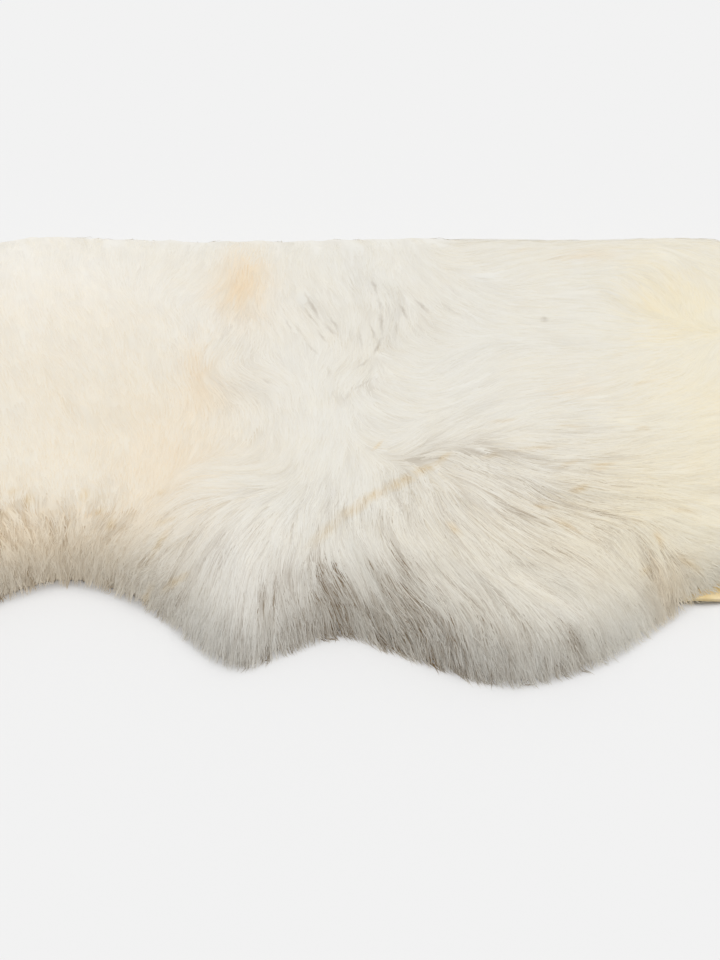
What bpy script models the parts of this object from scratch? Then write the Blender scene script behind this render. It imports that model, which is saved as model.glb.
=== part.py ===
"""A natural sheepskin rug, wool side up: one tanned hide lying flat, and the long fleece that grows on it.

Metres, +Z up. +X runs from neck to tail and -Y is the near flank. The hide's underside lies on Z = 0.
"""

import math
import random

import bmesh
import bpy
import numpy as np
from mathutils import Matrix, Vector, noise

# Driving dimensions
HIDE_THICKNESS = 0.0025
CLEARANCE = 0.0003  # between the hide and the underside of the fleece
PILE_HEIGHT = 0.055
CROWN_INSET = 0.080  # how far in from the fleece's outline the pile reaches its full height
LUMP_HEIGHT = 0.009  # rise and fall of the combed lumps
LUMP_LENGTH = 0.034
COMB_STEP = 0.011  # the lumps are drawn out along the hair in steps of this
COMB_STEPS = 3

# The fleece stops short of the pile's reach, and the rim's locks droop over the rest to the floor
LOCK_REACH = 0.026
HIDE_INSET = 0.031
BARE_FLEECE_INSET = 0.011  # along the bare edge no lock hides the leather
BARE_START_X = 0.246
BARE_END_X = 0.405
BARE_BLEND = 0.040

COLUMNS = 184  # round the rim, an even number
CURVE_STEPS = 12  # fine points between two rows of REACH
SPINE_HALF = 0.37  # the fleece's rings close on a line this far to each side of the middle
INNER_RINGS = 9
NORMAL_SPAN = 3  # columns to each side that set which way is out
FLAT_RINGS = 2  # the first rows of RIM, which keep their own height all the way round
MERGE_DISTANCE = 1e-5

LOCK_SPACING = 0.0136
LOCK_WIDTH = 0.0115
LOCK_SIZES = (0.62, 1.02)
LOCK_STRETCHES = (0.66, 1.0)
LOCK_SWAY = math.radians(9)
HAIR_PULL = 0.55  # how far a lock leans from straight out towards the hair's own heading
SEED = 20

# How far the pile reaches: name, x, y. The rows run from the tail over the far flank to the neck and back.
REACH = (
    ("tail", 0.475, 0.006),
    ("far rump", 0.456, 0.110),
    ("far thigh", 0.421, 0.202),
    ("far hind leg", 0.373, 0.270),
    ("far hind leg tip", 0.312, 0.292),
    ("far flank", 0.185, 0.288),
    ("far belly", 0.040, 0.294),
    ("far ribs", -0.095, 0.289),
    ("far elbow", -0.215, 0.291),
    ("far foreleg tip", -0.310, 0.296),
    ("far foreleg", -0.378, 0.268),
    ("far neck", -0.432, 0.203),
    ("far nape", -0.462, 0.109),
    ("neck", -0.475, 0.002),
    ("near nape", -0.464, -0.100),
    ("near neck", -0.446, -0.182),
    ("near foreleg", -0.422, -0.237),
    ("near foreleg tip", -0.384, -0.264),
    ("near elbow", -0.336, -0.244),
    ("ribs", -0.288, -0.203),
    ("belly hollow", -0.230, -0.181),
    ("belly", -0.167, -0.211),
    ("stifle", -0.119, -0.261),
    ("stifle tip", -0.090, -0.275),
    ("stifle back", -0.054, -0.257),
    ("notch", -0.012, -0.239),
    ("leg front", 0.039, -0.263),
    ("leg tip front", 0.092, -0.289),
    ("leg tip", 0.135, -0.291),
    ("leg back", 0.192, -0.267),
    ("thigh", 0.243, -0.223),
    ("bare edge start", 0.282, -0.195),
    ("bare edge", 0.345, -0.187),
    ("bare edge end", 0.402, -0.161),
    ("near rump", 0.448, -0.089),
)

# The fleece's rounded rim: how far in from its outline, and how high. The first row is its underside.
RIM = (
    ("underside", 0.007, HIDE_THICKNESS + CLEARANCE),
    ("widest", 0.000, 0.010),
    ("shoulder", 0.004, 0.022),
    ("turn", 0.013, 0.033),
    ("brow", 0.027, 0.043),
    ("crown edge", 0.046, 0.051),
)

# One rim lock: how far out from the fleece's outline, the height of its flat underside, and its width and
# thickness as shares of LOCK_WIDTH. Its last stretch lies level on the floor.
LOCK = (
    ("root", -0.014, 0.014, 0.95, 0.90),
    ("bend", 0.006, 0.011, 1.00, 1.00),
    ("floor", 0.016, 0.000, 0.72, 0.80),
    ("tip", LOCK_REACH, 0.000, 0.10, 0.16),
)

# Broad rises and hollows of the pile: name, x, y, radius, rise
SWELLS = (
    ("crest of the leg", 0.055, -0.141, 0.085, 0.007),
    ("crest of the stifle", -0.085, -0.176, 0.050, 0.005),
    ("hollow of the swirl", 0.005, 0.074, 0.055, -0.007),
    ("seam of belly and leg", -0.125, -0.001, 0.045, -0.006),
    ("belly wool", -0.225, -0.051, 0.090, -0.008),
    ("shoulder wool", -0.330, 0.099, 0.110, 0.004),
    ("back", 0.110, 0.069, 0.080, 0.004),
    ("rump dip", 0.290, 0.099, 0.055, -0.006),
    ("rump", 0.370, -0.001, 0.080, 0.003),
    ("thigh edge", 0.300, -0.161, 0.050, -0.010),
)

# Creases where the pile parts: name, x and y of its start, x and y of its end, half width, depth
CREASES = (
    ("leg parting", -0.040, -0.189, 0.030, -0.129, 0.012, 0.010),
    ("leg parting end", 0.030, -0.129, 0.088, -0.095, 0.012, 0.008),
    ("swirl", 0.018, 0.154, 0.018, 0.089, 0.012, 0.008),
    ("swirl foot", 0.018, 0.089, -0.022, -0.001, 0.013, 0.008),
    ("leg shadow", 0.120, -0.216, 0.165, -0.243, 0.012, 0.008),
    ("side lock", -0.045, 0.134, -0.015, 0.089, 0.011, 0.007),
    ("thigh parting", 0.150, -0.131, 0.215, -0.139, 0.011, 0.006),
)

# Which way the hair lies: name, x, y, heading in degrees anticlockwise from +X
FLOW = (
    ("neck", -0.430, -0.011, -160),
    ("far neck", -0.400, 0.169, 150),
    ("near neck", -0.410, -0.181, -130),
    ("shoulder", -0.315, 0.209, -80),
    ("ribs", -0.230, 0.134, -69),
    ("side", -0.220, 0.009, -66),
    ("belly", -0.260, -0.081, -77),
    ("belly edge", -0.240, -0.175, -95),
    ("belly turn", -0.164, -0.207, -132),
    ("flank seam", -0.145, 0.160, -115),
    ("flank middle", -0.120, 0.019, -98),
    ("far middle", 0.000, 0.224, -85),
    ("swirl left", -0.095, 0.035, -40),
    ("swirl top", 0.016, 0.149, -82),
    ("swirl bend", 0.008, 0.069, -110),
    ("swirl foot", -0.025, -0.041, -98),
    ("fan left", -0.101, -0.113, 178),
    ("fan corner", -0.090, -0.161, -127),
    ("stifle", -0.088, -0.241, -102),
    ("fan front", -0.020, -0.211, -82),
    ("parting", 0.035, -0.146, -84),
    ("leg front", 0.060, -0.251, -74),
    ("leg middle", 0.115, -0.201, -58),
    ("leg back", 0.190, -0.241, -48),
    ("thigh", 0.150, -0.141, -34),
    ("thigh top", 0.170, -0.091, -8),
    ("rump side", 0.225, -0.041, 10),
    ("back right", 0.100, 0.019, 34),
    ("back", 0.170, 0.139, 4),
    ("far back", 0.150, 0.214, 20),
    ("rump dip", 0.285, 0.149, -86),
    ("rump", 0.280, 0.029, 38),
    ("cowlick", 0.236, -0.207, -72),
    ("bare edge", 0.300, -0.181, -14),
    ("tail", 0.430, -0.011, 5),
    ("far rump", 0.400, 0.149, 45),
)

FLOW_SOFTNESS = 0.010
FLOW_FALLOFF = 3

IVORY = (0.80, 0.76, 0.68, 1.0)
TAN = (0.66, 0.52, 0.33, 1.0)


def clear_scene():
    for obj in list(bpy.data.objects):
        bpy.data.objects.remove(obj, do_unlink=True)


def new_collection(name):
    collection = bpy.data.collections.new(name)
    bpy.context.scene.collection.children.link(collection)
    return collection


def add_object(name, data, collection):
    obj = bpy.data.objects.new(name, data)
    collection.objects.link(obj)
    return obj


def make_material(name, colour, roughness):
    material = bpy.data.materials.new(name)
    material.use_nodes = True
    shader = material.node_tree.nodes["Principled BSDF"]
    shader.inputs["Base Color"].default_value = colour
    shader.inputs["Roughness"].default_value = roughness
    shader.inputs["Metallic"].default_value = 0.0
    return material


def smooth_step(value):
    """0 below 0, 1 above 1, and an even curve between."""
    value = np.clip(value, 0.0, 1.0)
    return value * value * (3.0 - 2.0 * value)


def through_rows(points):
    """Fine points of the closed, smooth curve through the given ones."""
    count = len(points)
    fine = []
    for index in range(count):
        before, start, end, after = (points[(index + k) % count] for k in (-1, 0, 1, 2))
        for step in range(CURVE_STEPS):
            t = step / CURVE_STEPS
            fine.append(
                0.5
                * (
                    2 * start
                    + (end - before) * t
                    + (2 * before - 5 * start + 4 * end - after) * t**2
                    + (3 * start - before - 3 * end + after) * t**3
                )
            )
    return np.array(fine)


def evenly_spaced(path, count):
    """count points along an open path, the last one left out."""
    lengths = np.linalg.norm(np.diff(path, axis=0), axis=1)
    travelled = np.concatenate([[0.0], np.cumsum(lengths)])
    wanted = np.linspace(0.0, travelled[-1], count, endpoint=False)
    return np.column_stack([np.interp(wanted, travelled, path[:, axis]) for axis in (0, 1)])


def reach_outline(columns):
    """Even points round the pile's reach: half of them from tail to neck, and half back."""
    fine = through_rows(np.array([row[1:] for row in REACH]))
    neck = [row[0] for row in REACH].index("neck") * CURVE_STEPS
    far_half = fine[: neck + 1]
    near_half = np.vstack([fine[neck:], fine[:1]])
    return np.vstack([evenly_spaced(half, columns // 2) for half in (far_half, near_half)])


def outward(outline):
    """The unit vector out of the outline at each of its points, evened out over a few neighbours."""
    along = np.roll(outline, -NORMAL_SPAN, axis=0) - np.roll(outline, NORMAL_SPAN, axis=0)
    normal = np.column_stack([along[:, 1], -along[:, 0]])
    return normal / np.linalg.norm(normal, axis=1, keepdims=True)


def bareness(points):
    """1 along the near edge where the leather shows, 0 elsewhere."""
    rising = smooth_step((points[:, 0] - BARE_START_X) / BARE_BLEND + 0.5)
    falling = smooth_step((BARE_END_X - points[:, 0]) / BARE_BLEND + 0.5)
    return rising * falling * (points[:, 1] < 0.0)


def drawn_in(outline, usual, at_bare_edge):
    """The outline moved in, by one distance usually and by another along the bare edge."""
    bare = bareness(outline)[:, None]
    return outline - outward(outline) * (usual * (1.0 - bare) + at_bare_edge * bare)


def heading(x, y):
    """The unit vector along which the hair lies, drawn from the nearest rows of FLOW."""
    total = Vector((0.0, 0.0))
    for _, row_x, row_y, degrees in FLOW:
        weight = 1.0 / math.hypot(x - row_x, y - row_y, FLOW_SOFTNESS) ** FLOW_FALLOFF
        angle = math.radians(degrees)
        total += weight * Vector((math.cos(angle), math.sin(angle)))
    return total.normalized()


def combed_lumps(x, y):
    """Noise drawn out along the hair, so that its lumps lie like locks. About -1 to 1."""
    total = 0.0
    for sign in (1.0, -1.0):
        spot = Vector((x, y))
        for _ in range(COMB_STEPS):
            spot += heading(*spot) * COMB_STEP * sign
            total += noise.noise((spot.x / LUMP_LENGTH, spot.y / LUMP_LENGTH, SEED))
    return total / COMB_STEPS


def swell(x, y):
    """The broad rise or hollow of the pile at a place."""
    total = 0.0
    for _, row_x, row_y, radius, rise in SWELLS:
        total += rise * math.exp(-((x - row_x) ** 2 + (y - row_y) ** 2) / radius**2)
    return total


def crease(x, y):
    """How far the partings lower the pile at a place."""
    spot = Vector((x, y))
    total = 0.0
    for _, start_x, start_y, end_x, end_y, half_width, depth in CREASES:
        start = Vector((start_x, start_y))
        run = Vector((end_x, end_y)) - start
        share = min(1.0, max(0.0, (spot - start).dot(run) / run.length_squared))
        away = (spot - start - run * share).length
        total += depth * math.exp(-((away / half_width) ** 2))
    return total


def pile_top(x, y, outline):
    """The height of the combed pile at a place inside the outline."""
    inset = float(np.min(np.linalg.norm(outline - (x, y), axis=1)))
    rim_insets = [row[1] for row in RIM[1:]] + [CROWN_INSET]
    rim_heights = [row[2] for row in RIM[1:]] + [PILE_HEIGHT]
    height = float(np.interp(inset, rim_insets, rim_heights))
    crown = float(smooth_step(inset / RIM[-1][1]))
    return height + crown * (LUMP_HEIGHT * combed_lumps(x, y) + swell(x, y) - crease(x, y))


def sheet(name, outline, thickness, collection):
    """A flat sheet on the floor: a filled 2D curve with an extrusion of half its thickness."""
    curve = bpy.data.curves.new(name, "CURVE")
    curve.dimensions = "2D"
    curve.fill_mode = "BOTH"
    curve.extrude = thickness / 2.0
    spline = curve.splines.new("POLY")
    spline.points.add(len(outline) - 1)
    for point, (x, y) in zip(spline.points, outline):
        point.co = (x, y, 0.0, 1.0)
    spline.use_cyclic_u = True
    obj = add_object(name, curve, collection)
    obj.location.z = thickness / 2.0
    return obj


def loft(mesh, sections, cap_end=True):
    """Joins closed sections of equal point count, and closes the ends."""
    rings = [[mesh.verts.new(point) for point in section] for section in sections]
    count = len(rings[0])
    for lower, upper in zip(rings, rings[1:]):
        for index in range(count):
            after = (index + 1) % count
            mesh.faces.new((lower[index], lower[after], upper[after], upper[index]))
    mesh.faces.new(rings[0][::-1])
    if cap_end:
        mesh.faces.new(rings[-1])


def mesh_data(name, mesh):
    """Finishes a bmesh, faces out, as mesh data."""
    bmesh.ops.recalc_face_normals(mesh, faces=mesh.faces)
    data = bpy.data.meshes.new(name)
    mesh.to_mesh(data)
    mesh.free()
    data.shade_smooth()
    return data


def fleece_slab(outline):
    """The lumpy slab: rings from its underside over the rim, then in to meet along the spine."""
    count = len(outline)
    turn = 2.0 * np.pi * np.arange(count) / count
    spine = np.column_stack([SPINE_HALF * np.cos(turn), np.zeros(count)])
    span = np.linalg.norm(spine - outline, axis=1)
    shares = [row[1] / span for row in RIM]
    for ring in range(1, INNER_RINGS + 1):
        shares.append(shares[len(RIM) - 1] * (1.0 - ring / INNER_RINGS) + ring / INNER_RINGS)
    sections = []
    for level, share in enumerate(shares):
        flat = outline + (spine - outline) * share[:, None]
        flat_sided = level < FLAT_RINGS
        heights = [RIM[level][2] if flat_sided else pile_top(x, y, outline) for x, y in flat]
        sections.append(np.column_stack([flat, heights]))
    mesh = bmesh.new()
    loft(mesh, sections, cap_end=False)
    bmesh.ops.remove_doubles(mesh, verts=mesh.verts, dist=MERGE_DISTANCE)
    return mesh_data("fleece", mesh)


def rim_lock(mesh, root, direction, size, stretch):
    """Adds one drooping lock: triangles with their flat sides down, from its root to its tip."""
    along = direction.to_3d()
    side = Vector((-direction.y, direction.x, 0.0))
    sections = []
    for _, out, under, width, thickness in LOCK:
        centre = Vector((root[0], root[1], under)) + along * (out * stretch if out > 0.0 else out)
        half = side * (LOCK_WIDTH * size * width / 2.0)
        ridge = Vector((0.0, 0.0, LOCK_WIDTH * size * thickness))
        sections.append((centre - half, centre + half, centre + ridge))
    loft(mesh, sections)


def rim_locks(outline):
    """All the rim's locks in one mesh. They stand apart, and their roots lie inside the fleece."""
    rng = random.Random(SEED)
    closed = np.vstack([outline, outline[:1]])
    length = np.linalg.norm(np.diff(closed, axis=0), axis=1).sum()
    roots = evenly_spaced(closed, int(length / LOCK_SPACING))
    mesh = bmesh.new()
    for root, normal, bare in zip(roots.tolist(), outward(roots).tolist(), bareness(roots)):
        size = rng.uniform(*LOCK_SIZES)
        stretch = rng.uniform(*LOCK_STRETCHES)
        sway = Matrix.Rotation(rng.uniform(-LOCK_SWAY, LOCK_SWAY), 2)
        if bare > 0.0:
            continue
        out = Vector(normal)
        hair = heading(*root)
        lean = HAIR_PULL * max(0.0, hair.dot(out))
        direction = sway @ (out * (1.0 - lean) + hair * lean).normalized()
        rim_lock(mesh, root, direction, size, stretch)
    return mesh_data("rim locks", mesh)


def stand_on_origin(objects):
    """Moves the rug so that the origin is under the middle of its box."""
    bpy.context.view_layer.update()
    corners = [obj.matrix_world @ Vector(corner) for obj in objects for corner in obj.bound_box]
    middle_x = (min(c.x for c in corners) + max(c.x for c in corners)) / 2.0
    middle_y = (min(c.y for c in corners) + max(c.y for c in corners)) / 2.0
    for obj in objects:
        obj.location.x -= middle_x
        obj.location.y -= middle_y


def main():
    clear_scene()
    rug = new_collection("sheepskin rug")
    cutters = new_collection("cutters")
    outline = reach_outline(COLUMNS)

    hide_outline = drawn_in(outline, HIDE_INSET, 0.0)
    hide = sheet("hide", hide_outline, HIDE_THICKNESS, rug)
    hide.data.materials.append(make_material("leather", TAN, 0.65))

    fleece_outline = drawn_in(outline, LOCK_REACH, BARE_FLEECE_INSET)
    fleece = add_object("fleece", fleece_slab(fleece_outline), rug)
    fleece.data.materials.append(make_material("wool", IVORY, 0.85))

    locks = add_object("rim locks", rim_locks(fleece_outline), cutters)
    locks.hide_render = True
    locks.display_type = "WIRE"
    union = fleece.modifiers.new("rim locks", "BOOLEAN")
    union.operation = "UNION"
    union.solver = "EXACT"
    union.use_self = True
    union.object = locks

    stand_on_origin([hide, fleece])
    locks.location = fleece.location


main()
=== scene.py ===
"""The looks of the sheepskin rug: its combed fleece, lock by lock, and the bare leather edge under it."""

import math

import bpy
import numpy as np
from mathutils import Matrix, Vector, noise


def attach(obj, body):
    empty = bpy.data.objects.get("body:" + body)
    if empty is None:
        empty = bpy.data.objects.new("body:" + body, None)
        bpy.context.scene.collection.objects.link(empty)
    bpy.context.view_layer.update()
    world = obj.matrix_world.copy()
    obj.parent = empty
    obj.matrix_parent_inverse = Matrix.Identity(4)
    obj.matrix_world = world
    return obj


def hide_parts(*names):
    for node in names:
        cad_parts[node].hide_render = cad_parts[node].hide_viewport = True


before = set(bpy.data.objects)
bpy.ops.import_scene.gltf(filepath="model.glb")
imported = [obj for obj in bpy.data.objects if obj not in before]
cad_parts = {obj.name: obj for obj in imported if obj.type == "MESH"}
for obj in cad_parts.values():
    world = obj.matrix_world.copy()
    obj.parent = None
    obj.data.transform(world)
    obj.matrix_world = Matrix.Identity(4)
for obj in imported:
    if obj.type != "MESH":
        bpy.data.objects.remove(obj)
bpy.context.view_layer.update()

# ---------------------------------------------------------------- sizes, in metres

HIDE_THICKNESS = 0.0025
PILE_HEIGHT = 0.053
LUMP_HEIGHT = 0.0025
LUMP_LENGTH = 0.034
COMB_STEP = 0.011  # how far lumps are drawn out along the hair, and how many times
COMB_STEPS = 3
SEED = 20

CELL = 0.004  # spacing of the maps that hold the rug's shape
MAP_X = 0.52  # how far the maps run to each side of the middle
MAP_Y = 0.32
CURVE_STEPS = 12

# The near edge between these is bare of wool
BARE_START_X = 0.258
BARE_END_X = 0.405
BARE_BLEND = 0.040
BARE_BELOW_Y = -0.05

# How far the pile reaches: name, x, y
REACH = (
    ("tail", 0.475, 0.006),
    ("far rump", 0.456, 0.110),
    ("far thigh", 0.421, 0.202),
    ("far hind leg", 0.373, 0.270),
    ("far hind leg tip", 0.312, 0.292),
    ("far flank", 0.185, 0.288),
    ("far belly", 0.040, 0.294),
    ("far ribs", -0.095, 0.289),
    ("far elbow", -0.215, 0.291),
    ("far foreleg tip", -0.310, 0.296),
    ("far foreleg", -0.378, 0.268),
    ("far neck", -0.432, 0.203),
    ("far nape", -0.462, 0.109),
    ("neck", -0.475, 0.002),
    ("near nape", -0.464, -0.100),
    ("near neck", -0.446, -0.182),
    ("near foreleg", -0.422, -0.237),
    ("near foreleg tip", -0.384, -0.264),
    ("near elbow", -0.336, -0.244),
    ("ribs", -0.288, -0.203),
    ("belly hollow", -0.230, -0.181),
    ("belly", -0.167, -0.211),
    ("stifle", -0.119, -0.261),
    ("stifle tip", -0.090, -0.275),
    ("stifle back", -0.054, -0.257),
    ("notch", -0.012, -0.239),
    ("leg front", 0.039, -0.263),
    ("leg tip front", 0.092, -0.289),
    ("leg tip", 0.135, -0.291),
    ("leg back", 0.192, -0.267),
    ("thigh", 0.243, -0.223),
    ("bare edge start", 0.282, -0.195),
    ("bare edge", 0.345, -0.187),
    ("bare edge end", 0.402, -0.161),
    ("near rump", 0.448, -0.089),
)

# The pile's outer face: name, how far in from its reach, and how high
PROFILE = (
    ("tips", 0.000, 0.0012),
    ("skirt", 0.004, 0.012),
    ("lower wall", 0.011, 0.025),
    ("upper wall", 0.022, 0.036),
    ("brow", 0.038, 0.045),
    ("crown edge", 0.060, 0.051),
    ("crown", 0.095, PILE_HEIGHT),
)

# Broad swells and hollows of the pile: name, x, y, radius, rise
SWELLS = (
    ("crest of the leg", 0.055, -0.141, 0.085, 0.007),
    ("crest of the stifle", -0.085, -0.176, 0.050, 0.005),
    ("hollow of the swirl", 0.005, 0.074, 0.055, -0.007),
    ("seam of belly and leg", -0.125, -0.001, 0.045, -0.006),
    ("belly wool", -0.225, -0.051, 0.090, -0.008),
    ("shoulder wool", -0.330, 0.099, 0.110, 0.004),
    ("back", 0.110, 0.069, 0.080, 0.004),
    ("rump dip", 0.290, 0.099, 0.055, -0.006),
    ("rump", 0.370, -0.001, 0.080, 0.003),
    ("thigh edge", 0.300, -0.161, 0.050, -0.010),
)

# Creases in the pile: name, from x, y to x, y, half width, depth
CREASES = (
    ("leg parting", -0.040, -0.189, 0.030, -0.129, 0.012, 0.003),
    ("leg parting end", 0.030, -0.129, 0.088, -0.095, 0.012, 0.003),
    ("swirl", 0.018, 0.154, 0.018, 0.089, 0.012, 0.003),
    ("swirl foot", 0.018, 0.089, -0.022, -0.001, 0.013, 0.003),
    ("leg shadow", 0.120, -0.216, 0.165, -0.243, 0.012, 0.006),
    ("side lock", -0.045, 0.134, -0.015, 0.089, 0.011, 0.003),
    ("thigh parting", 0.150, -0.131, 0.215, -0.139, 0.011, 0.004),
)
RELIEF_INSET = 0.060  # swells and creases are at their full height from here inwards

# Which way the hair lies and how it grows: name, x, y, heading in degrees anticlockwise from +X,
# length of the hair, and how far it gathers into pointed locks (0 loose, 1 tight)
FLOW = (
    ("neck", -0.430, -0.011, -160, 0.045, 0.6),
    ("far neck", -0.400, 0.169, 150, 0.045, 0.6),
    ("near neck", -0.410, -0.181, -130, 0.045, 0.6),
    ("shoulder", -0.315, 0.209, -80, 0.038, 0.35),
    ("ribs high", -0.271, 0.144, -71, 0.038, 0.35),
    ("ribs", -0.215, 0.128, -68, 0.036, 0.35),
    ("ribs low", -0.168, 0.098, -73, 0.036, 0.35),
    ("side left", -0.258, 0.025, -62, 0.034, 0.30),
    ("side", -0.196, -0.003, -70, 0.032, 0.25),
    ("belly left", -0.263, -0.081, -77, 0.028, 0.35),
    ("belly", -0.196, -0.094, -84, 0.028, 0.30),
    ("belly edge left", -0.274, -0.165, -62, 0.030, 0.80),
    ("belly edge", -0.232, -0.165, -96, 0.030, 0.80),
    ("belly edge right", -0.200, -0.172, -122, 0.032, 0.75),
    ("belly turn", -0.164, -0.190, -146, 0.036, 0.65),
    ("belly corner", -0.131, -0.231, -127, 0.042, 0.60),
    ("flank tuft", -0.145, 0.160, -118, 0.040, 0.45),
    ("flank seam", -0.106, 0.192, -93, 0.050, 0.40),
    ("flank middle", -0.114, 0.068, -103, 0.050, 0.30),
    ("flank low", -0.134, -0.031, -92, 0.045, 0.25),
    ("side lock", -0.040, 0.126, -66, 0.065, 0.60),
    ("swirl left", -0.095, 0.035, -40, 0.060, 0.50),
    ("swirl inner", -0.055, -0.018, -80, 0.060, 0.45),
    ("swirl top", 0.016, 0.157, -80, 0.065, 0.60),
    ("swirl bend", 0.020, 0.103, -100, 0.065, 0.65),
    ("swirl turn", -0.002, 0.044, -116, 0.065, 0.60),
    ("swirl foot", -0.021, -0.019, -98, 0.060, 0.45),
    ("middle", -0.033, -0.073, -103, 0.060, 0.40),
    ("swirl right", 0.040, 0.064, -52, 0.060, 0.50),
    ("middle right", 0.032, 0.022, -35, 0.060, 0.45),
    ("middle turn", 0.012, -0.030, -40, 0.060, 0.40),
    ("fan left", -0.101, -0.113, 178, 0.060, 0.60),
    ("fan corner", -0.088, -0.152, -127, 0.075, 0.65),
    ("fan side", -0.098, -0.206, -109, 0.075, 0.70),
    ("stifle", -0.085, -0.250, -98, 0.075, 0.75),
    ("fan inner", -0.059, -0.191, -105, 0.080, 0.70),
    ("notch left", -0.054, -0.236, -66, 0.080, 0.75),
    ("notch", -0.025, -0.222, -52, 0.080, 0.75),
    ("parting left", -0.040, -0.181, -92, 0.085, 0.65),
    ("parting", 0.006, -0.152, -90, 0.085, 0.65),
    ("parting right", 0.044, -0.130, -80, 0.085, 0.65),
    ("parting end", 0.086, -0.101, -42, 0.080, 0.60),
    ("leg front", 0.016, -0.205, -66, 0.085, 0.70),
    ("leg low", 0.040, -0.250, -54, 0.080, 0.75),
    ("leg tip", 0.090, -0.275, -66, 0.080, 0.75),
    ("leg crest", 0.087, -0.176, -58, 0.085, 0.65),
    ("leg middle", 0.125, -0.208, -48, 0.085, 0.70),
    ("leg back", 0.161, -0.246, -42, 0.080, 0.75),
    ("leg outer", 0.190, -0.233, -36, 0.080, 0.75),
    ("thigh edge", 0.220, -0.221, -30, 0.065, 0.70),
    ("thigh", 0.113, -0.132, -40, 0.080, 0.60),
    ("thigh middle", 0.159, -0.161, -32, 0.075, 0.65),
    ("thigh top", 0.164, -0.094, -9, 0.070, 0.60),
    ("thigh side", 0.209, -0.132, -6, 0.065, 0.65),
    ("rump side", 0.217, -0.044, 9, 0.065, 0.55),
    ("rump low", 0.281, -0.070, 14, 0.055, 0.50),
    ("rump", 0.249, 0.018, 30, 0.055, 0.55),
    ("above parting", 0.052, -0.061, 50, 0.060, 0.40),
    ("back low", 0.092, -0.032, 34, 0.065, 0.45),
    ("back right", 0.074, 0.036, 40, 0.060, 0.50),
    ("back middle", 0.104, 0.038, 36, 0.065, 0.50),
    ("back edge", 0.155, 0.025, 12, 0.065, 0.55),
    ("back", 0.151, 0.096, -6, 0.065, 0.50),
    ("back tuft", 0.054, 0.157, -68, 0.060, 0.60),
    ("back hollow", 0.090, 0.126, -46, 0.060, 0.55),
    ("far back", 0.180, 0.142, 6, 0.065, 0.50),
    ("far back left", 0.130, 0.206, 22, 0.065, 0.50),
    ("far back right", 0.222, 0.206, 12, 0.060, 0.50),
    ("far middle", 0.010, 0.229, -85, 0.055, 0.40),
    ("rump dip left", 0.254, 0.160, -60, 0.045, 0.45),
    ("rump dip", 0.298, 0.144, -84, 0.045, 0.45),
    ("rump hollow", 0.266, 0.098, 10, 0.050, 0.45),
    ("rump high", 0.296, 0.054, 60, 0.050, 0.50),
    ("cowlick", 0.226, -0.191, -64, 0.043, 0.85),
    ("cowlick edge", 0.240, -0.204, -70, 0.034, 0.85),
    ("corner", 0.268, -0.195, -14, 0.026, 0.75),
    ("bare edge", 0.275, -0.176, -8, 0.045, 0.60),
    ("bare edge right", 0.340, -0.161, -6, 0.045, 0.60),
    ("tail", 0.430, -0.011, 5, 0.050, 0.60),
    ("far rump", 0.400, 0.149, 45, 0.050, 0.60),
)
# Each place lies as the rows near it do: by the power at which a row's weight falls off with distance,
# the distance within which it no longer grows, and how often the outcome is blurred
FLOW_FALLOFF = 4
FLOW_SOFTNESS = 0.010
FLOW_BLUR = 3
TURN_OUT_INSET = 0.012  # this near the reach, hair that would lie inwards turns to hang outwards
TURN_OUT_BLEND = 0.024
TURN_OUT_STRENGTH = 1.4
HANGS_OUT = 0.5  # hair that heads out at least this much isn't turned
KEPT_ALONG_BARE = 0.85  # how much less it turns along the bare edge

# Where long hair lies over the coat, besides all round the rim: where, x, y, radius along x and y, share
SHAGGY = (
    ("fan", -0.020, -0.190, 0.110, 0.070, 1.0),
    ("leg", 0.110, -0.190, 0.110, 0.085, 1.0),
    ("thigh", 0.200, -0.130, 0.070, 0.060, 0.7),
    ("belly band", -0.250, -0.190, 0.150, 0.045, 1.0),
)
RIM_HAIR = (0.030, 0.070)  # all shaggy up to here from the reach, smooth past here
FAR_RIM_HAIR = (0.030, 0.062)
FAR_SIDE_Y = 0.03  # where one goes over into the other
FAR_SIDE_BLEND = 0.10
# Where the hair of the rim stands apart most: where, x, y, radius along x and y, share
RUFFLED = (
    ("stifle", -0.060, -0.270, 0.060, 0.060, 0.8),
    ("leg front", 0.030, -0.250, 0.080, 0.080, 1.2),
    ("leg", 0.150, -0.290, 0.090, 0.070, 0.8),
    ("belly band", -0.260, -0.220, 0.130, 0.060, 0.6),
)
# How much painted shade darkens the wool between its locks: where, x, y, radius along x and y, share
PAINTED_GAP_SHADE_ROWS = (
    ("fan", -0.060, -0.170, 0.080, 0.060, 0.26),
    ("parting", 0.010, -0.150, 0.060, 0.030, 0.20),
    ("above parting", 0.090, -0.083, 0.045, 0.020, 0.45),
    ("leg", 0.120, -0.190, 0.095, 0.070, 0.46),
    ("thigh", 0.180, -0.130, 0.080, 0.050, 0.38),
    ("flank", 0.150, -0.060, 0.110, 0.045, 0.20),
    ("wall", 0.060, -0.270, 0.140, 0.050, 0.40),
    ("stifle wall", -0.090, -0.260, 0.050, 0.035, 0.30),
    ("belly wall", -0.260, -0.200, 0.120, 0.040, 0.85),
    ("belly band", -0.270, -0.152, 0.100, 0.028, 0.36),
    ("cowlick", 0.235, -0.200, 0.030, 0.030, 0.28),
    ("swirl", 0.016, 0.100, 0.030, 0.080, 0.05),
    ("swirl foot", 0.000, 0.020, 0.030, 0.040, 0.10),
    ("side lock", -0.038, 0.125, 0.030, 0.055, 0.05),
    ("back tuft", 0.060, 0.130, 0.045, 0.040, 0.10),
    ("flank seam", -0.110, 0.060, 0.040, 0.120, 0.10),
)
EVEN_PAINTED_GAP_SHADE = 0.08  # as much everywhere, with the rows on top
DUSK_STRAY = 0.010  # how unevenly the rug's own shade starts
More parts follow.
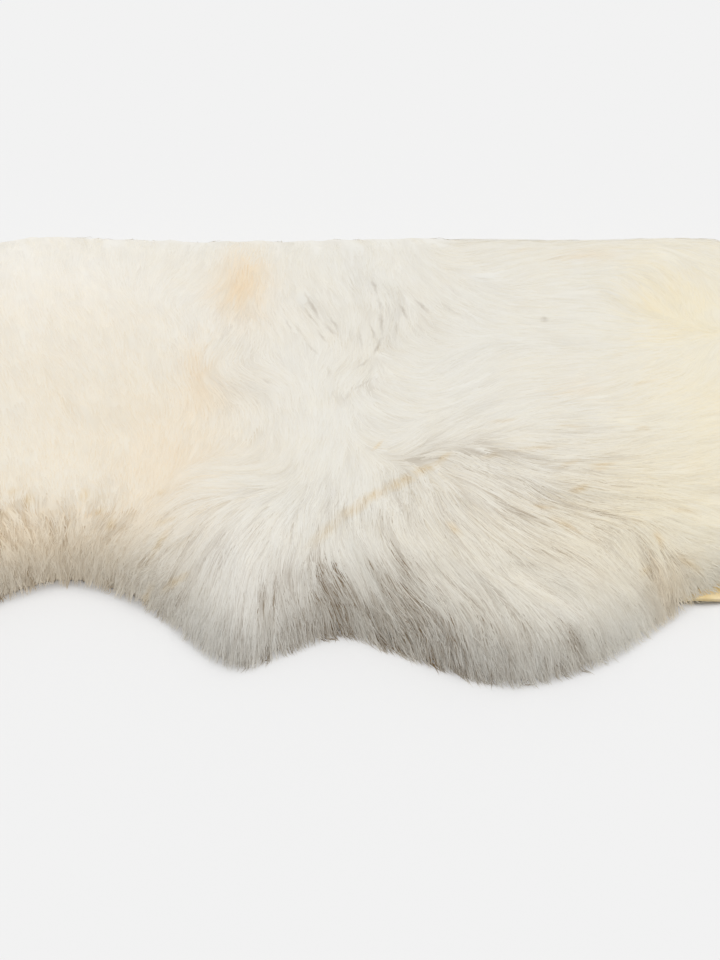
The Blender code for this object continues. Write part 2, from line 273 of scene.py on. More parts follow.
# Where the wool lies in the rug's own shade: where, x, y, radius along x and y, share
DUSKS = (
    ("leg wool", 0.140, -0.155, 0.095, 0.065, 0.16),
    ("notch left", -0.050, -0.237, 0.024, 0.022, 0.80),
    ("notch", -0.003, -0.238, 0.036, 0.025, 0.92),
    ("leg front", 0.030, -0.266, 0.042, 0.030, 0.95),
    ("leg low", 0.075, -0.294, 0.045, 0.026, 0.85),
    ("leg tip", 0.125, -0.306, 0.045, 0.022, 0.60),
    ("leg back", 0.172, -0.276, 0.022, 0.012, 0.75),
    ("stifle", -0.075, -0.278, 0.040, 0.018, 0.30),
    ("belly", -0.190, -0.214, 0.060, 0.022, 0.32),
    ("ribs", -0.280, -0.212, 0.060, 0.022, 0.45),
    ("band", -0.280, -0.150, 0.090, 0.030, 0.13),
    ("cowlick", 0.232, -0.214, 0.022, 0.012, 0.40),
    ("thigh", 0.205, -0.166, 0.022, 0.010, 0.20),
)
BARE_DEPTH, SHAGGY_DEPTH, WALL_DEPTH = 0.0006, 0.0008, 0.0090  # how far the coat lies below the pile's face
BARE_RUFFLE, SHAGGY_RUFFLE, WALL_RUFFLE = 0.00010, 0.00035, 0.0045  # how far hairs lie above each other
WALL_INSET = 0.012  # up to here from the reach the wall's wool is at its deepest
WALL_BLEND = 0.030
CROWN_WALL = 0.2  # how much of the wall's depth and ruffle is left past that
LEAST_RUFFLED = 0.25  # how far the hair of the rim stands apart elsewhere than in the rows of RUFFLED
RIM_GATHER = 0.65  # the share of its gathering that hair has at the reach itself
GATHER_INSET = 0.050  # past here it has all of it
WANDER_TURN = 0.20  # how far the hair strays from its heading, in radians
WANDERS = ((0.050, 1.0, 3), (0.022, 0.7, 4))  # length, share of the turn, layer of the noise
LEAST_COVER = 0.50  # how much of the smooth coat has hair on it; more where the hair fans out
COVER_GAIN = 0.5  # how much more, for hair that fans out by its own width along its length
COVER_BLUR = 6
OUT_BLUR = 8

# ---------------------------------------------------------------- the rug's shape, as maps


def smooth_step(value):
    """0 below 0, 1 above 1, and an even curve between."""
    value = np.clip(value, 0.0, 1.0)
    return value * value * (3.0 - 2.0 * value)


def through_rows(points):
    """Fine points of the closed, smooth curve through the given ones."""
    count = len(points)
    fine = []
    for index in range(count):
        before, start, end, after = (points[(index + k) % count] for k in (-1, 0, 1, 2))
        for step in range(CURVE_STEPS):
            t = step / CURVE_STEPS
            fine.append(0.5 * (2 * start + (end - before) * t
                               + (2 * before - 5 * start + 4 * end - after) * t**2
                               + (3 * start - before - 3 * end + after) * t**3))
    return np.array(fine)


def grid(cell):
    """The x and the y of every point of a map."""
    across = np.arange(-MAP_X, MAP_X + cell / 2, cell)
    along = np.arange(-MAP_Y, MAP_Y + cell / 2, cell)
    return np.meshgrid(across, along, indexing="ij")


OUTLINE = through_rows(np.array([row[1:] for row in REACH]))
GRID_X, GRID_Y = grid(CELL)


def sample(field, points, cell=CELL):
    """The map's value at each point, evenly between its cells."""
    u = np.clip((points[:, 0] + MAP_X) / cell, 0, field.shape[0] - 1.001)
    v = np.clip((points[:, 1] + MAP_Y) / cell, 0, field.shape[1] - 1.001)
    i, j = u.astype(int), v.astype(int)
    a, b = u - i, v - j
    if field.ndim == 3:
        a, b = a[:, None], b[:, None]
    return ((field[i, j] * (1 - a) + field[i + 1, j] * a) * (1 - b)
            + (field[i, j + 1] * (1 - a) + field[i + 1, j + 1] * a) * b)


def blurred(field, passes):
    """A map with each cell mixed with its neighbours, so many times over."""
    for _ in range(passes):
        field = (np.roll(field, 1, 0) + np.roll(field, -1, 0) + np.roll(field, 1, 1)
                 + np.roll(field, -1, 1) + 4 * field) / 8
    return field


def away_from_line(x, y, dx, dy):
    """How far each point of the map lies from the line that runs from x, y on by dx, dy."""
    share = np.clip(((GRID_X - x) * dx + (GRID_Y - y) * dy) / (dx * dx + dy * dy), 0, 1)
    return np.hypot(GRID_X - x - share * dx, GRID_Y - y - share * dy)


def inset_map():
    """How far inside the pile's reach each point lies, less than 0 outside."""
    runs = np.roll(OUTLINE, -1, axis=0) - OUTLINE
    nearest = np.full(GRID_X.shape, np.inf)
    inside = np.zeros(GRID_X.shape, bool)
    for (x, y), (dx, dy) in zip(OUTLINE, runs):
        nearest = np.minimum(nearest, away_from_line(x, y, dx, dy))
        if dy:
            crosses = (GRID_Y >= y) != (GRID_Y >= y + dy)
            inside ^= crosses & (GRID_X < x + (GRID_Y - y) / dy * dx)
    return np.where(inside, nearest, -nearest)


def flow_maps():
    """The hair's heading as unit vectors, its length and its gathering."""
    total = np.zeros(GRID_X.shape + (4,))
    weights = np.zeros(GRID_X.shape)
    for _, x, y, degrees, length, gather in FLOW:
        weight = 1.0 / ((GRID_X - x) ** 2 + (GRID_Y - y) ** 2 + FLOW_SOFTNESS**2) ** (FLOW_FALLOFF / 2)
        angle = math.radians(degrees)
        row = np.array([math.cos(angle), math.sin(angle), length, gather])
        total += weight[..., None] * row
        weights += weight
    total /= weights[..., None]
    direction = blurred(total[..., :2], FLOW_BLUR)
    direction /= np.linalg.norm(direction, axis=2, keepdims=True) + 1e-9
    return direction, blurred(total[..., 2], FLOW_BLUR), blurred(total[..., 3], FLOW_BLUR)


def lump_map(direction):
    """Noise drawn out along the hair, so that its lumps lie like locks."""
    total = np.zeros(GRID_X.shape)
    for sign in (1.0, -1.0):
        spots = np.column_stack([GRID_X.ravel(), GRID_Y.ravel()])
        for _ in range(COMB_STEPS):
            spots = spots + sample(direction, spots) * COMB_STEP * sign
            scaled = spots / LUMP_LENGTH
            total += np.array([noise.noise((x, y, SEED)) for x, y in scaled]).reshape(total.shape)
    return total / COMB_STEPS


def pile_map(inset, lumps):
    """The height of the pile's outer face."""
    height = np.interp(inset, [row[1] for row in PROFILE], [row[2] for row in PROFILE])
    relief = LUMP_HEIGHT * lumps
    for _, x, y, radius, rise in SWELLS:
        relief += rise * np.exp(-((GRID_X - x) ** 2 + (GRID_Y - y) ** 2) / radius**2)
    for _, x0, y0, x1, y1, half_width, depth in CREASES:
        away = away_from_line(x0, y0, x1 - x0, y1 - y0)
        relief -= depth * np.exp(-((away / half_width) ** 2))
    return height + relief * smooth_step(inset / RELIEF_INSET)


def blobs(table, across=GRID_X, along=GRID_Y):
    """Soft ovals of the given values, added up at each place."""
    total = np.zeros(across.shape)
    for _, x, y, radius_x, radius_y, value in table:
        total += value * np.exp(-(((across - x) / radius_x) ** 2 + ((along - y) / radius_y) ** 2))
    return total


def noise_map(length, strength, layer):
    """Soft noise over the whole rug."""
    spots = zip(GRID_X.ravel() / length, GRID_Y.ravel() / length)
    values = [noise.noise((x, y, SEED + layer)) for x, y in spots]
    return strength * np.array(values).reshape(GRID_X.shape)


INSET = inset_map()
OUT = -np.stack(np.gradient(blurred(INSET, OUT_BLUR), CELL), axis=2)
OUT /= np.linalg.norm(OUT, axis=2, keepdims=True) + 1e-9
HEADING, LENGTH, GATHER = flow_maps()
LUMPS = lump_map(HEADING)
PILE = pile_map(INSET, LUMPS)
near_rim = 1.0 - smooth_step((INSET - TURN_OUT_INSET) / TURN_OUT_BLEND)
BARE = (smooth_step((GRID_X - BARE_START_X) / BARE_BLEND + 0.5)
        * smooth_step((BARE_END_X - GRID_X) / BARE_BLEND + 0.5) * (GRID_Y < BARE_BELOW_Y))
facing = (HEADING * OUT).sum(2)
turn_out = near_rim * np.clip(HANGS_OUT - facing, 0.0, None) * TURN_OUT_STRENGTH
turned = HEADING + OUT * (turn_out * (1.0 - KEPT_ALONG_BARE * BARE))[..., None]
HEADING = turned / (np.linalg.norm(turned, axis=2, keepdims=True) + 1e-9)

far = smooth_step((GRID_Y - FAR_SIDE_Y) / FAR_SIDE_BLEND + 0.5)
rim_from, rim_to = (near * (1.0 - far) + away * far for near, away in zip(RIM_HAIR, FAR_RIM_HAIR))
rim_shag = 1.0 - smooth_step((INSET - rim_from) / (rim_to - rim_from))
SHAG = np.clip(np.maximum(rim_shag, blobs(SHAGGY)), 0.0, 1.0)
spread = sum(np.gradient(HEADING[..., axis], CELL, axis=axis) for axis in (0, 1))
COVER = np.clip(LEAST_COVER + blurred(spread, COVER_BLUR) * LENGTH * COVER_GAIN, LEAST_COVER, 1.0)
wall_share = 1.0 - smooth_step((INSET - WALL_INSET) / WALL_BLEND) * (1.0 - CROWN_WALL)
WALL = np.clip(wall_share, 0.0, 1.0) * np.clip(blobs(RUFFLED), LEAST_RUFFLED, 1.0)
DEPTH = BARE_DEPTH + SHAGGY_DEPTH * SHAG + WALL_DEPTH * WALL
RUFFLE = BARE_RUFFLE + SHAGGY_RUFFLE * SHAG + WALL_RUFFLE * WALL
GATHER = GATHER * (RIM_GATHER + (1.0 - RIM_GATHER) * smooth_step(INSET / GATHER_INSET))
PAINTED_GAP_SHADE_MAP = np.clip(EVEN_PAINTED_GAP_SHADE + blobs(PAINTED_GAP_SHADE_ROWS), 0.0, 1.0)
DUSK = np.clip(blobs(DUSKS), 0.0, 1.0)
WANDER = sum(noise_map(length, WANDER_TURN * share, layer) for length, share, layer in WANDERS)

# ---------------------------------------------------------------- the coat's fine maps

FINE_CELL = 0.0020
STRAND_STEP, STRAND_STEPS = 0.0020, 8  # how far the fine noise is smeared into strands, and in how many steps
LOCK_STEP, LOCK_STEPS = 0.0030, 9
LOCK_BLUR = 10
STRAND_RELIEF = 0.00010
LOCK_RELIEF = 0.00015
SHAG_LOCK_RELIEF = 0.00040  # what shaggy wool's locks stand out on top of that
THINNEST_COAT = 0.004
FACING_BLUR = 7
FINE_X, FINE_Y = grid(FINE_CELL)
FINE_POINTS = np.column_stack([FINE_X.ravel(), FINE_Y.ravel()])


def turned_by(vectors, angles):
    """2D unit vectors turned by an angle each."""
    cos, sin = np.cos(angles), np.sin(angles)
    return np.column_stack([vectors[:, 0] * cos - vectors[:, 1] * sin,
                            vectors[:, 0] * sin + vectors[:, 1] * cos])


def lie(spots, bend=0.0):
    """Which way the hair lies at each spot."""
    heading = sample(HEADING, spots)
    heading /= np.linalg.norm(heading, axis=1, keepdims=True) + 1e-9
    return turned_by(heading, sample(WANDER, spots) + bend)


def combed(field, step, steps):
    """A fine map smeared along the hair, so that its spots become strands."""
    total = field.copy()
    for sign in (1.0, -1.0):
        spots = FINE_POINTS
        for index in range(steps):
            spots = spots + lie(spots) * step * sign
            total += sample(field, spots, FINE_CELL).reshape(total.shape) * (1.0 - index / steps)
    total -= total.mean()
    return total / total.std()


def on_fine(field):
    """A coarse map's values on the fine one's points."""
    return sample(field, FINE_POINTS).reshape(FINE_X.shape)


fine_random = np.random.default_rng(SEED)
STRANDS = combed(fine_random.normal(size=FINE_X.shape), STRAND_STEP, STRAND_STEPS)
patches = blurred(fine_random.normal(size=FINE_X.shape), LOCK_BLUR)
LOCKS = combed(patches / patches.std(), LOCK_STEP, LOCK_STEPS)
FACE = on_fine(PILE) + (LOCK_RELIEF + SHAG_LOCK_RELIEF * on_fine(SHAG)) * LOCKS
COAT = np.maximum(FACE - on_fine(DEPTH) + STRAND_RELIEF * STRANDS, HIDE_THICKNESS + THINNEST_COAT)
slopes = np.gradient(blurred(FACE, FACING_BLUR), FINE_CELL)
FACING = np.stack([-slope for slope in slopes] + [np.ones(FACE.shape)], axis=2)
FACING /= np.linalg.norm(FACING, axis=2, keepdims=True)

# ---------------------------------------------------------------- hair

GUIDE_STEPS = 12
SLOPE_REACH = 0.003  # how far ahead a lock looks to follow the pile's face
ROOT_UNDER = 0.0012  # how far under the coat a hair starts
EMERGE = 2.2  # how soon a lock comes up out of the coat
LOWEST = 0.0008  # no hair lies lower than this
SPILL = 0.005  # how far past the reach a tip may lie
UNEVEN_TIPS = 0.008  # by how much tips differ in that
BARE_TRIM = 0.0010  # how far short of it hair ends along the bare edge
SHORTEST = 0.12  # the least share of its length that hair keeps
ROOTS_INSET = 0.010
ROW_PITCH = 0.87  # spacing of the rows of locks, in locks
TUFT_PITCH = 2.6  # spacing of the tufts that locks lean into, in locks
LOCK_JITTER, TUFT_JITTER = 0.5, 1.0  # how far their roots stray, in their own spacing
HEADING_WEIGHT = 0.03  # how far off, in metres, a tuft seems to a lock that heads a radian away from it
NEAREST_BATCH = 500  # locks looked up at a time
SWAY, GATHERED_SWAY = 0.03, 0.08  # how far loose locks bend at random, and how much more tight ones do
BEND_KEPT = 0.4  # how much of the bend at its root a lock keeps at its tip
RIDE = (-0.7, 0.3)  # how high locks ride, in ruffles
PULL, PULL_CURVE = 0.75, 1.3  # how far a tuft pulls its locks in at the tip, and how late
SUNK_FROM, SUNK_BLEND = 0.10, 0.45  # locks this far to the side in their tuft, in tufts, begin to lie lower
SUNK_BY = 2.0  # they are at their full depth half way along

ALL_IN = 9.0
FRINGE_IN = 0.034
# A piece of fleece: name, its box in x and y, how far in from the reach its roots may be,
# spacing of its locks, points to a hair, width of a hair, how much it curls, and most triangles
TRACTS = (
    ("hair_shoulder", (-0.60, -0.30), (-0.40, 0.40), ALL_IN, 0.0066, 5, 0.00125, 1.0, 70000),
    ("hair_belly", (-0.30, -0.125), (-0.125, 0.40), ALL_IN, 0.0056, 5, 0.00105, 1.0, 85000),
    ("hair_band", (-0.30, -0.125), (-0.40, -0.125), ALL_IN, 0.0034, 6, 0.00095, 2.7, 75000),
    ("hair_stifle", (-0.125, 0.07), (-0.40, -0.040), ALL_IN, 0.0048, 6, 0.00082, 1.0, 145000),
    ("hair_leg", (0.07, 0.28), (-0.40, -0.040), ALL_IN, 0.0048, 6, 0.00085, 1.4, 140000),
    ("hair_back", (-0.125, 0.28), (-0.040, 0.40), ALL_IN, 0.0060, 5, 0.00110, 1.2, 122000),
    ("hair_rump", (0.28, 0.60), (-0.40, 0.40), ALL_IN, 0.0070, 5, 0.00125, 1.2, 70000),
    ("hair_fringe", (-0.45, 0.28), (-0.40, -0.100), FRINGE_IN, 0.0050, 5, 0.00080, 1.0, 45000),
)
LOCK_LENGTHS = (0.80, 1.18)  # shortest and longest lock, as shares of the hair's length there

# A hair in its lock: a size "in locks" is in the spacing of the locks, one "in ruffles" in the ruffle there
STRAY_SHARE = 0.05  # how many hairs don't close up with their lock
HAIR_REACH = (0.66, 1.0)  # how much of the lock's path a hair follows
LOCK_SPREAD, LOCK_SHIFT, LOCK_LIFT = 0.60, 0.8, 0.5  # to the side and along in locks, up in ruffles
SHIFT_FADE = 0.6  # how much of its shift along the lock a hair loses on its way
CLOSING_CURVE = 1.2  # how late a lock closes up
LIFTED_BY = 3  # a hair is at its full lift a third of the way along
FRAY_SIDE, STRAY_FRAY = 0.0012, 3.0  # how far tips fray to the side, and how much farther strays do
FRAY_UP = 0.4  # how far tips fray up or down, in ruffles
WAVE, WAVE_LENGTHS = (0.0003, 0.0012), (0.022, 0.050)  # how wide and how long a lock's waves are
FULL_WAVE_LENGTH, LEAST_WAVE = 0.035, 0.1  # hair shorter than this waves less
WAVE_STRAY = 0.4  # how far a hair's waves are out of step with its lock's, in radians
WAVES_BY = 2  # a hair is at its full wave half way along
LOOK_AHEAD = 0.04  # how far on and back along its path a hair looks for its direction
HAIR_WIDTHS = (0.70, 1.35)  # narrowest and widest hair, in the tract's width of a hair
WIDTH_ALONG = ((0.0, 0.15), (0.25, 0.9), (0.45, 1.0), (0.75, 0.75), (1.0, 0.0))

# How hairs turn in the light, in radians: in smooth wool, and how much more where it is rough
ROUGH_RUFFLE = 0.002  # wool with this ruffle is fully rough
TWIST, TWIST_ALONG = (0.06, 0.26), (0.04, 0.20)  # as a whole, and from root to tip
NORMAL_LEAN = (0.03, 0.18)  # to one side as a whole
NORMAL_ROLL = 0.20  # from one edge of a hair to the other
ROLL_SHARE = (0.15, 0.85)

# How dark hair is in the shade of the hair round it
SUNK_SHADE = 0.75  # of locks low in their tuft
TUFT_TONES = (0.3, 0.7)  # the share of it that the palest tuft has, and what the darkest has on top
STRAND_SHADE, STRAND_SHADE_CURVE = 0.60, 2.5  # of each strand by itself, dark for a few of them
GAP_ROOT, GAP_FADE = 1.2, 0.6  # in the gaps: at the root, and how much less at the tip
DUSK_OPEN, DUSK_HIDDEN = 0.34, 1.2  # in the rug's own shade: in the open, and how much more under other hair
DUSK_ROOT, DUSK_FADE = 1.55, 1.20  # there, at the root, and how much less at the tip
DUSK_TUFTS = (0.5, 1.5)  # how much of that shade tufts take
HAIR_CELL_SIDE, HAIR_CELL_END = 0.2, 0.1  # what is left free round a hair in its cell of the atlas


def scattered(box_x, box_y, most_in, pitch, jitter, rng):
    """Scattered roots for one tract, inside the pile and off the bare edge, thinner where the coat shows."""
    across = np.arange(box_x[0], box_x[1], pitch)
    down = np.arange(box_y[0], box_y[1], pitch * ROW_PITCH)
    x, y = np.meshgrid(across, down, indexing="ij")
    x = x + pitch / 2 * (np.arange(len(down)) % 2)[None, :]
    roots = np.column_stack([x.ravel(), y.ravel()])
    roots += rng.uniform(-jitter, jitter, roots.shape) * pitch
    within = ((roots[:, 0] >= box_x[0]) & (roots[:, 0] < box_x[1])
              & (roots[:, 1] >= box_y[0]) & (roots[:, 1] < box_y[1]))
    kept = rng.random(len(roots)) < np.maximum(sample(SHAG, roots), sample(COVER, roots))
    inset = sample(INSET, roots)
    return roots[within & kept & (inset < most_in) & (inset > ROOTS_INSET)]


def comb(roots, lengths, bend_root, bend_tip, ride_height):
    """Follows the hair from each root over the pile's face: x, y, and how far above the face."""
    paths = np.empty((len(roots), GUIDE_STEPS + 1, 3))
    spots = roots.copy()
    step = lengths / GUIDE_STEPS
    depth = sample(DEPTH, roots) + ROOT_UNDER
    for index in range(GUIDE_STEPS + 1):
        t = index / GUIDE_STEPS
        risen = 1.0 - (1.0 - t) ** EMERGE
        paths[:, index, :2] = spots
        paths[:, index, 2] = ride_height * risen - depth * (1.0 - risen)
        direction = lie(spots, bend_root * (1.0 - t) + bend_tip * t)
        rise = sample(PILE, spots + direction * SLOPE_REACH) - sample(PILE, spots)
        spots = spots + direction * (step / np.sqrt(1.0 + (rise / SLOPE_REACH) ** 2))[:, None]
    return paths


def grown_to_fit(roots, lengths, bends, ride_height, rng):
    """Hair that would run out over the floor is as long as it takes to end at the reach."""
    paths = comb(roots, lengths, *bends, ride_height)
    flat = paths[:, :, :2].reshape(-1, 2)
    room = (sample(INSET, flat) - BARE_TRIM * sample(BARE, flat)).reshape(len(roots), -1)
    room += SPILL - rng.uniform(0.0, UNEVEN_TIPS, len(roots))[:, None]
    past = room < 0.0
    first = np.where(past.any(1), np.maximum(past.argmax(1), 1), GUIDE_STEPS)
    rows = np.arange(len(roots))
    before, after = room[rows, first - 1], room[rows, first]
    share = np.where(after < 0.0, before / np.maximum(before - after, 1e-6), 1.0)
    lengths = lengths * np.clip((first - 1 + np.clip(share, 0.0, 1.0)) / GUIDE_STEPS, SHORTEST, 1.0)
    return lengths, comb(roots, lengths, *bends, ride_height)


def nearest(places, others):
    """The closest of the others to each place."""
    found = np.empty(len(places), int)
    for start in range(0, len(places), NEAREST_BATCH):
        part = places[start:start + NEAREST_BATCH]
        found[start:start + NEAREST_BATCH] = ((part[:, None, :] - others[None, :, :]) ** 2).sum(2).argmin(1)
    return found


def locks_of(box_x, box_y, most_in, pitch, rng):
    """Combed locks, each leaning towards the middle of its tuft."""
    made = []
    for spacing, jitter in ((pitch, LOCK_JITTER), (pitch * TUFT_PITCH, TUFT_JITTER)):
        roots = scattered(box_x, box_y, most_in, spacing, jitter, rng)
        count = len(roots)
        gather = sample(GATHER, roots)
        lengths = sample(LENGTH, roots) * rng.uniform(*LOCK_LENGTHS, count)
        sway = SWAY + GATHERED_SWAY * gather
        bend_root = rng.normal(0.0, 1.0, count) * sway
        bend_tip = bend_root * BEND_KEPT + rng.normal(0.0, 1.0, count) * sway
        ride_height = rng.uniform(*RIDE, count) * sample(RUFFLE, roots)
        lengths, paths = grown_to_fit(roots, lengths, (bend_root, bend_tip), ride_height, rng)
        made.append((roots, gather, lengths, paths))
    (roots, gather, lengths, paths), (tuft_roots, _, _, tuft_paths) = made
    heading = sample(HEADING, roots)
    place = np.hstack([roots, heading * HEADING_WEIGHT])
    tuft_place = np.hstack([tuft_roots, sample(HEADING, tuft_roots) * HEADING_WEIGHT])
    tuft = nearest(place, tuft_place)
    apart = roots - tuft_roots[tuft]
    aside = np.abs(apart[:, 0] * heading[:, 1] - apart[:, 1] * heading[:, 0]) / (pitch * TUFT_PITCH)
    t = np.linspace(0.0, 1.0, GUIDE_STEPS + 1)
    pull = (gather[:, None] * PULL * t[None, :] ** PULL_CURVE)[..., None]
    paths = paths + (tuft_paths[tuft] - paths) * pull
    sunk = smooth_step((aside - SUNK_FROM) / SUNK_BLEND)
    paths[:, :, 2] -= (sunk * sample(RUFFLE, roots))[:, None] * smooth_step(t * SUNK_BY)[None, :]
    return paths, lengths, gather, tuft, sunk


def along_path(path, t):
    """Each hair's point a share t of the way along its own lock's path."""
    u = np.clip(t * GUIDE_STEPS, 0, GUIDE_STEPS - 0.001)
    i = u.astype(int)
    rows = np.arange(len(path))
    share = (u - i)[:, None]
    return path[rows, i] * (1 - share) + path[rows, i + 1] * share


def draped(places):
    """Points given by how far above the pile's face they lie, at their real height."""
    flat = places.reshape(-1, 3)
    z = np.maximum(sample(FACE, flat[:, :2], FINE_CELL) + flat[:, 2], LOWEST)
    return np.column_stack([flat[:, :2], z]).reshape(places.shape)


def shaded(spine, hidden, t, stray):
    """How far each point of a hair is in the shade of other hair; each tuft's shade starts elsewhere."""
    places = spine[:, :, :2]
    moved = places + stray[:, None, :2]
    gaps = sample(PAINTED_GAP_SHADE_MAP, places.reshape(-1, 2)).reshape(places.shape[:2])
    dusk = sample(DUSK, moved.reshape(-1, 2)).reshape(places.shape[:2]) * stray[:, None, 2]
    in_gaps = gaps * hidden * (GAP_ROOT - GAP_FADE * t)
    in_dusk = dusk * (DUSK_OPEN + DUSK_HIDDEN * hidden) * (DUSK_ROOT - DUSK_FADE * t)
    return np.clip(in_gaps + in_dusk, 0.0, 1.0)


def hair_lines(paths, lengths, gather, owner, pitch, curl, points_each, rng):
    """The line of each hair: its lock's path with its own place in the lock, its fray and its wave."""
    locks, count = len(paths), len(owner)
    paths, lengths = paths[owner], lengths[owner]
    ruffle = sample(RUFFLE, paths[:, 0, :2])
    stray = rng.random(count) < STRAY_SHARE
    closing_share = np.where(stray, 0.0, gather[owner])
    reach = rng.uniform(*HAIR_REACH, count)
    spread = rng.normal(0.0, LOCK_SPREAD, count) * pitch
    shift = rng.uniform(-LOCK_SHIFT, LOCK_SHIFT, count) * pitch
    lift = rng.uniform(-LOCK_LIFT, LOCK_LIFT, count) * ruffle
    fray_side = rng.normal(0.0, FRAY_SIDE, count) * np.where(stray, STRAY_FRAY, 1.0)
    fray_up = np.where(stray, rng.uniform(0.0, 1.0, count), rng.normal(0.0, FRAY_UP, count)) * ruffle
    wave = rng.uniform(*WAVE, locks)[owner] * curl * np.clip(lengths / FULL_WAVE_LENGTH, LEAST_WAVE, 1.0)
    wave_turns = lengths / rng.uniform(*WAVE_LENGTHS, locks)[owner]
    wave_start = rng.uniform(0, 2 * np.pi, locks)[owner] + rng.normal(0.0, WAVE_STRAY, count)

    spine = np.empty((count, points_each, 3))
    for index in range(points_each):
        t = index / (points_each - 1)
        place = along_path(paths, t * reach)
        ahead = along_path(paths, np.minimum(t * reach + LOOK_AHEAD, 1.0))
        ahead -= along_path(paths, t * reach - LOOK_AHEAD)
        ahead[:, 2] = 0.0
        ahead /= np.linalg.norm(ahead, axis=1, keepdims=True) + 1e-9
        side = np.column_stack([-ahead[:, 1], ahead[:, 0]])
        closing = 1.0 - closing_share * t**CLOSING_CURVE
        sideways = spread * closing + fray_side * t**2
        sideways += wave * np.sin(2 * np.pi * wave_turns * t + wave_start) * min(1.0, WAVES_BY * t)
        place[:, :2] += side * sideways[:, None] + ahead[:, :2] * (shift * (1.0 - SHIFT_FADE * t))[:, None]
        place[:, 2] += lift * closing * min(1.0, LIFTED_BY * t) + fray_up * t**2
        spine[:, index] = place
    return draped(spine)


def turned_faces(spine, rough, rng):
    """Which way each hair's width runs, and the normal that shades each of its edges."""
    count, points_each, _ = spine.shape
    twist, twist_run, lean = (rng.normal(0.0, 1.0, count) * (smooth + more * rough)
                              for smooth, more in (TWIST, TWIST_ALONG, NORMAL_LEAN))
    roll = NORMAL_ROLL * (ROLL_SHARE[0] + ROLL_SHARE[1] * rough)
    tangent = np.gradient(spine, axis=1)
    tangent /= np.linalg.norm(tangent, axis=2, keepdims=True) + 1e-9
    normal = sample(FACING, spine[:, :, :2].reshape(-1, 2), FINE_CELL).reshape(spine.shape)
    side = np.cross(normal, tangent)
    side /= np.linalg.norm(side, axis=2, keepdims=True) + 1e-9
    upright = np.cross(tangent, side)
    angle = (twist[:, None] + twist_run[:, None] * np.linspace(0.0, 1.0, points_each)[None, :])[..., None]
    edge = side * np.cos(angle) + upright * np.sin(angle)
    leans = [np.tan(lean + half * roll)[:, None, None] for half in (-1.0, 1.0)]
    face = np.stack([normal + side * turn for turn in leans], axis=2)
    return edge, face / np.linalg.norm(face, axis=3, keepdims=True)


def grow(name, box_x, box_y, most_in, pitch, points_each, hair_width, curl, most_triangles, seed):
    """One tract of fleece as thin tapered ribbons gathered in locks."""
    rng = np.random.default_rng(seed)
    paths, lengths, gather, tuft, sunk = locks_of(box_x, box_y, most_in, pitch, rng)
    count = most_triangles // (2 * points_each - 3)
    owner = np.sort(np.arange(count) % len(paths))
    print(name, "locks", len(paths), "hairs", count, "a lock", round(count / len(paths), 1))
    spine = hair_lines(paths, lengths, gather, owner, pitch, curl, points_each, rng)
    rough = np.clip(sample(RUFFLE, paths[owner, 0, :2]) / ROUGH_RUFFLE, 0.0, 1.0)
    edge, face = turned_faces(spine, rough, rng)
    width = hair_width * rng.uniform(*HAIR_WIDTHS, count)
    strand = rng.random(count)

    tufts = tuft.max() + 1
    tuft_tone = rng.random(tufts)[tuft][owner]
    tuft_stray = np.column_stack([rng.normal(0.0, DUSK_STRAY, (tufts, 2)), rng.uniform(*DUSK_TUFTS, tufts)])
    hidden = SUNK_SHADE * sunk[owner] * (TUFT_TONES[0] + TUFT_TONES[1] * tuft_tone)
    hidden += STRAND_SHADE * (1.0 - strand) ** STRAND_SHADE_CURVE
    shares = np.linspace(0.0, 1.0, points_each)
    shade = shaded(spine, hidden[:, None], shares[None, :], tuft_stray[tuft][owner])
    tract = ribbons(name, spine, edge, face, width, strand, shade)
    tract.visible_shadow = False  # the shade between locks is in the wool's colour
    return tract


def fleece_mesh(name, verts, loops, starts, point_values, atlas, normals):
    """A smooth mesh in the scene, with values on its points, an atlas for textures and its own normals."""
    mesh = bpy.data.meshes.new(name)
    mesh.vertices.add(len(verts))
    mesh.vertices.foreach_set("co", verts.astype(np.float32).ravel())
    mesh.loops.add(len(loops))
    mesh.loops.foreach_set("vertex_index", loops.astype(np.int32))
    mesh.polygons.add(len(starts))
    mesh.polygons.foreach_set("loop_start", starts.astype(np.int32))
    mesh.update(calc_edges=True)
    mesh.shade_smooth()
    for attribute, values in point_values:
        layer = mesh.attributes.new(attribute, "FLOAT", "POINT")
        layer.data.foreach_set("value", values.astype(np.float32))
    places = mesh.uv_layers.new(name="OFBake", do_init=False).uv
    places.foreach_set("vector", atlas[loops].astype(np.float32).ravel())
    mesh.normals_split_custom_set_from_vertices(normals.astype(np.float32))
    obj = bpy.data.objects.new(name, mesh)
    bpy.context.scene.collection.objects.link(obj)
    return obj


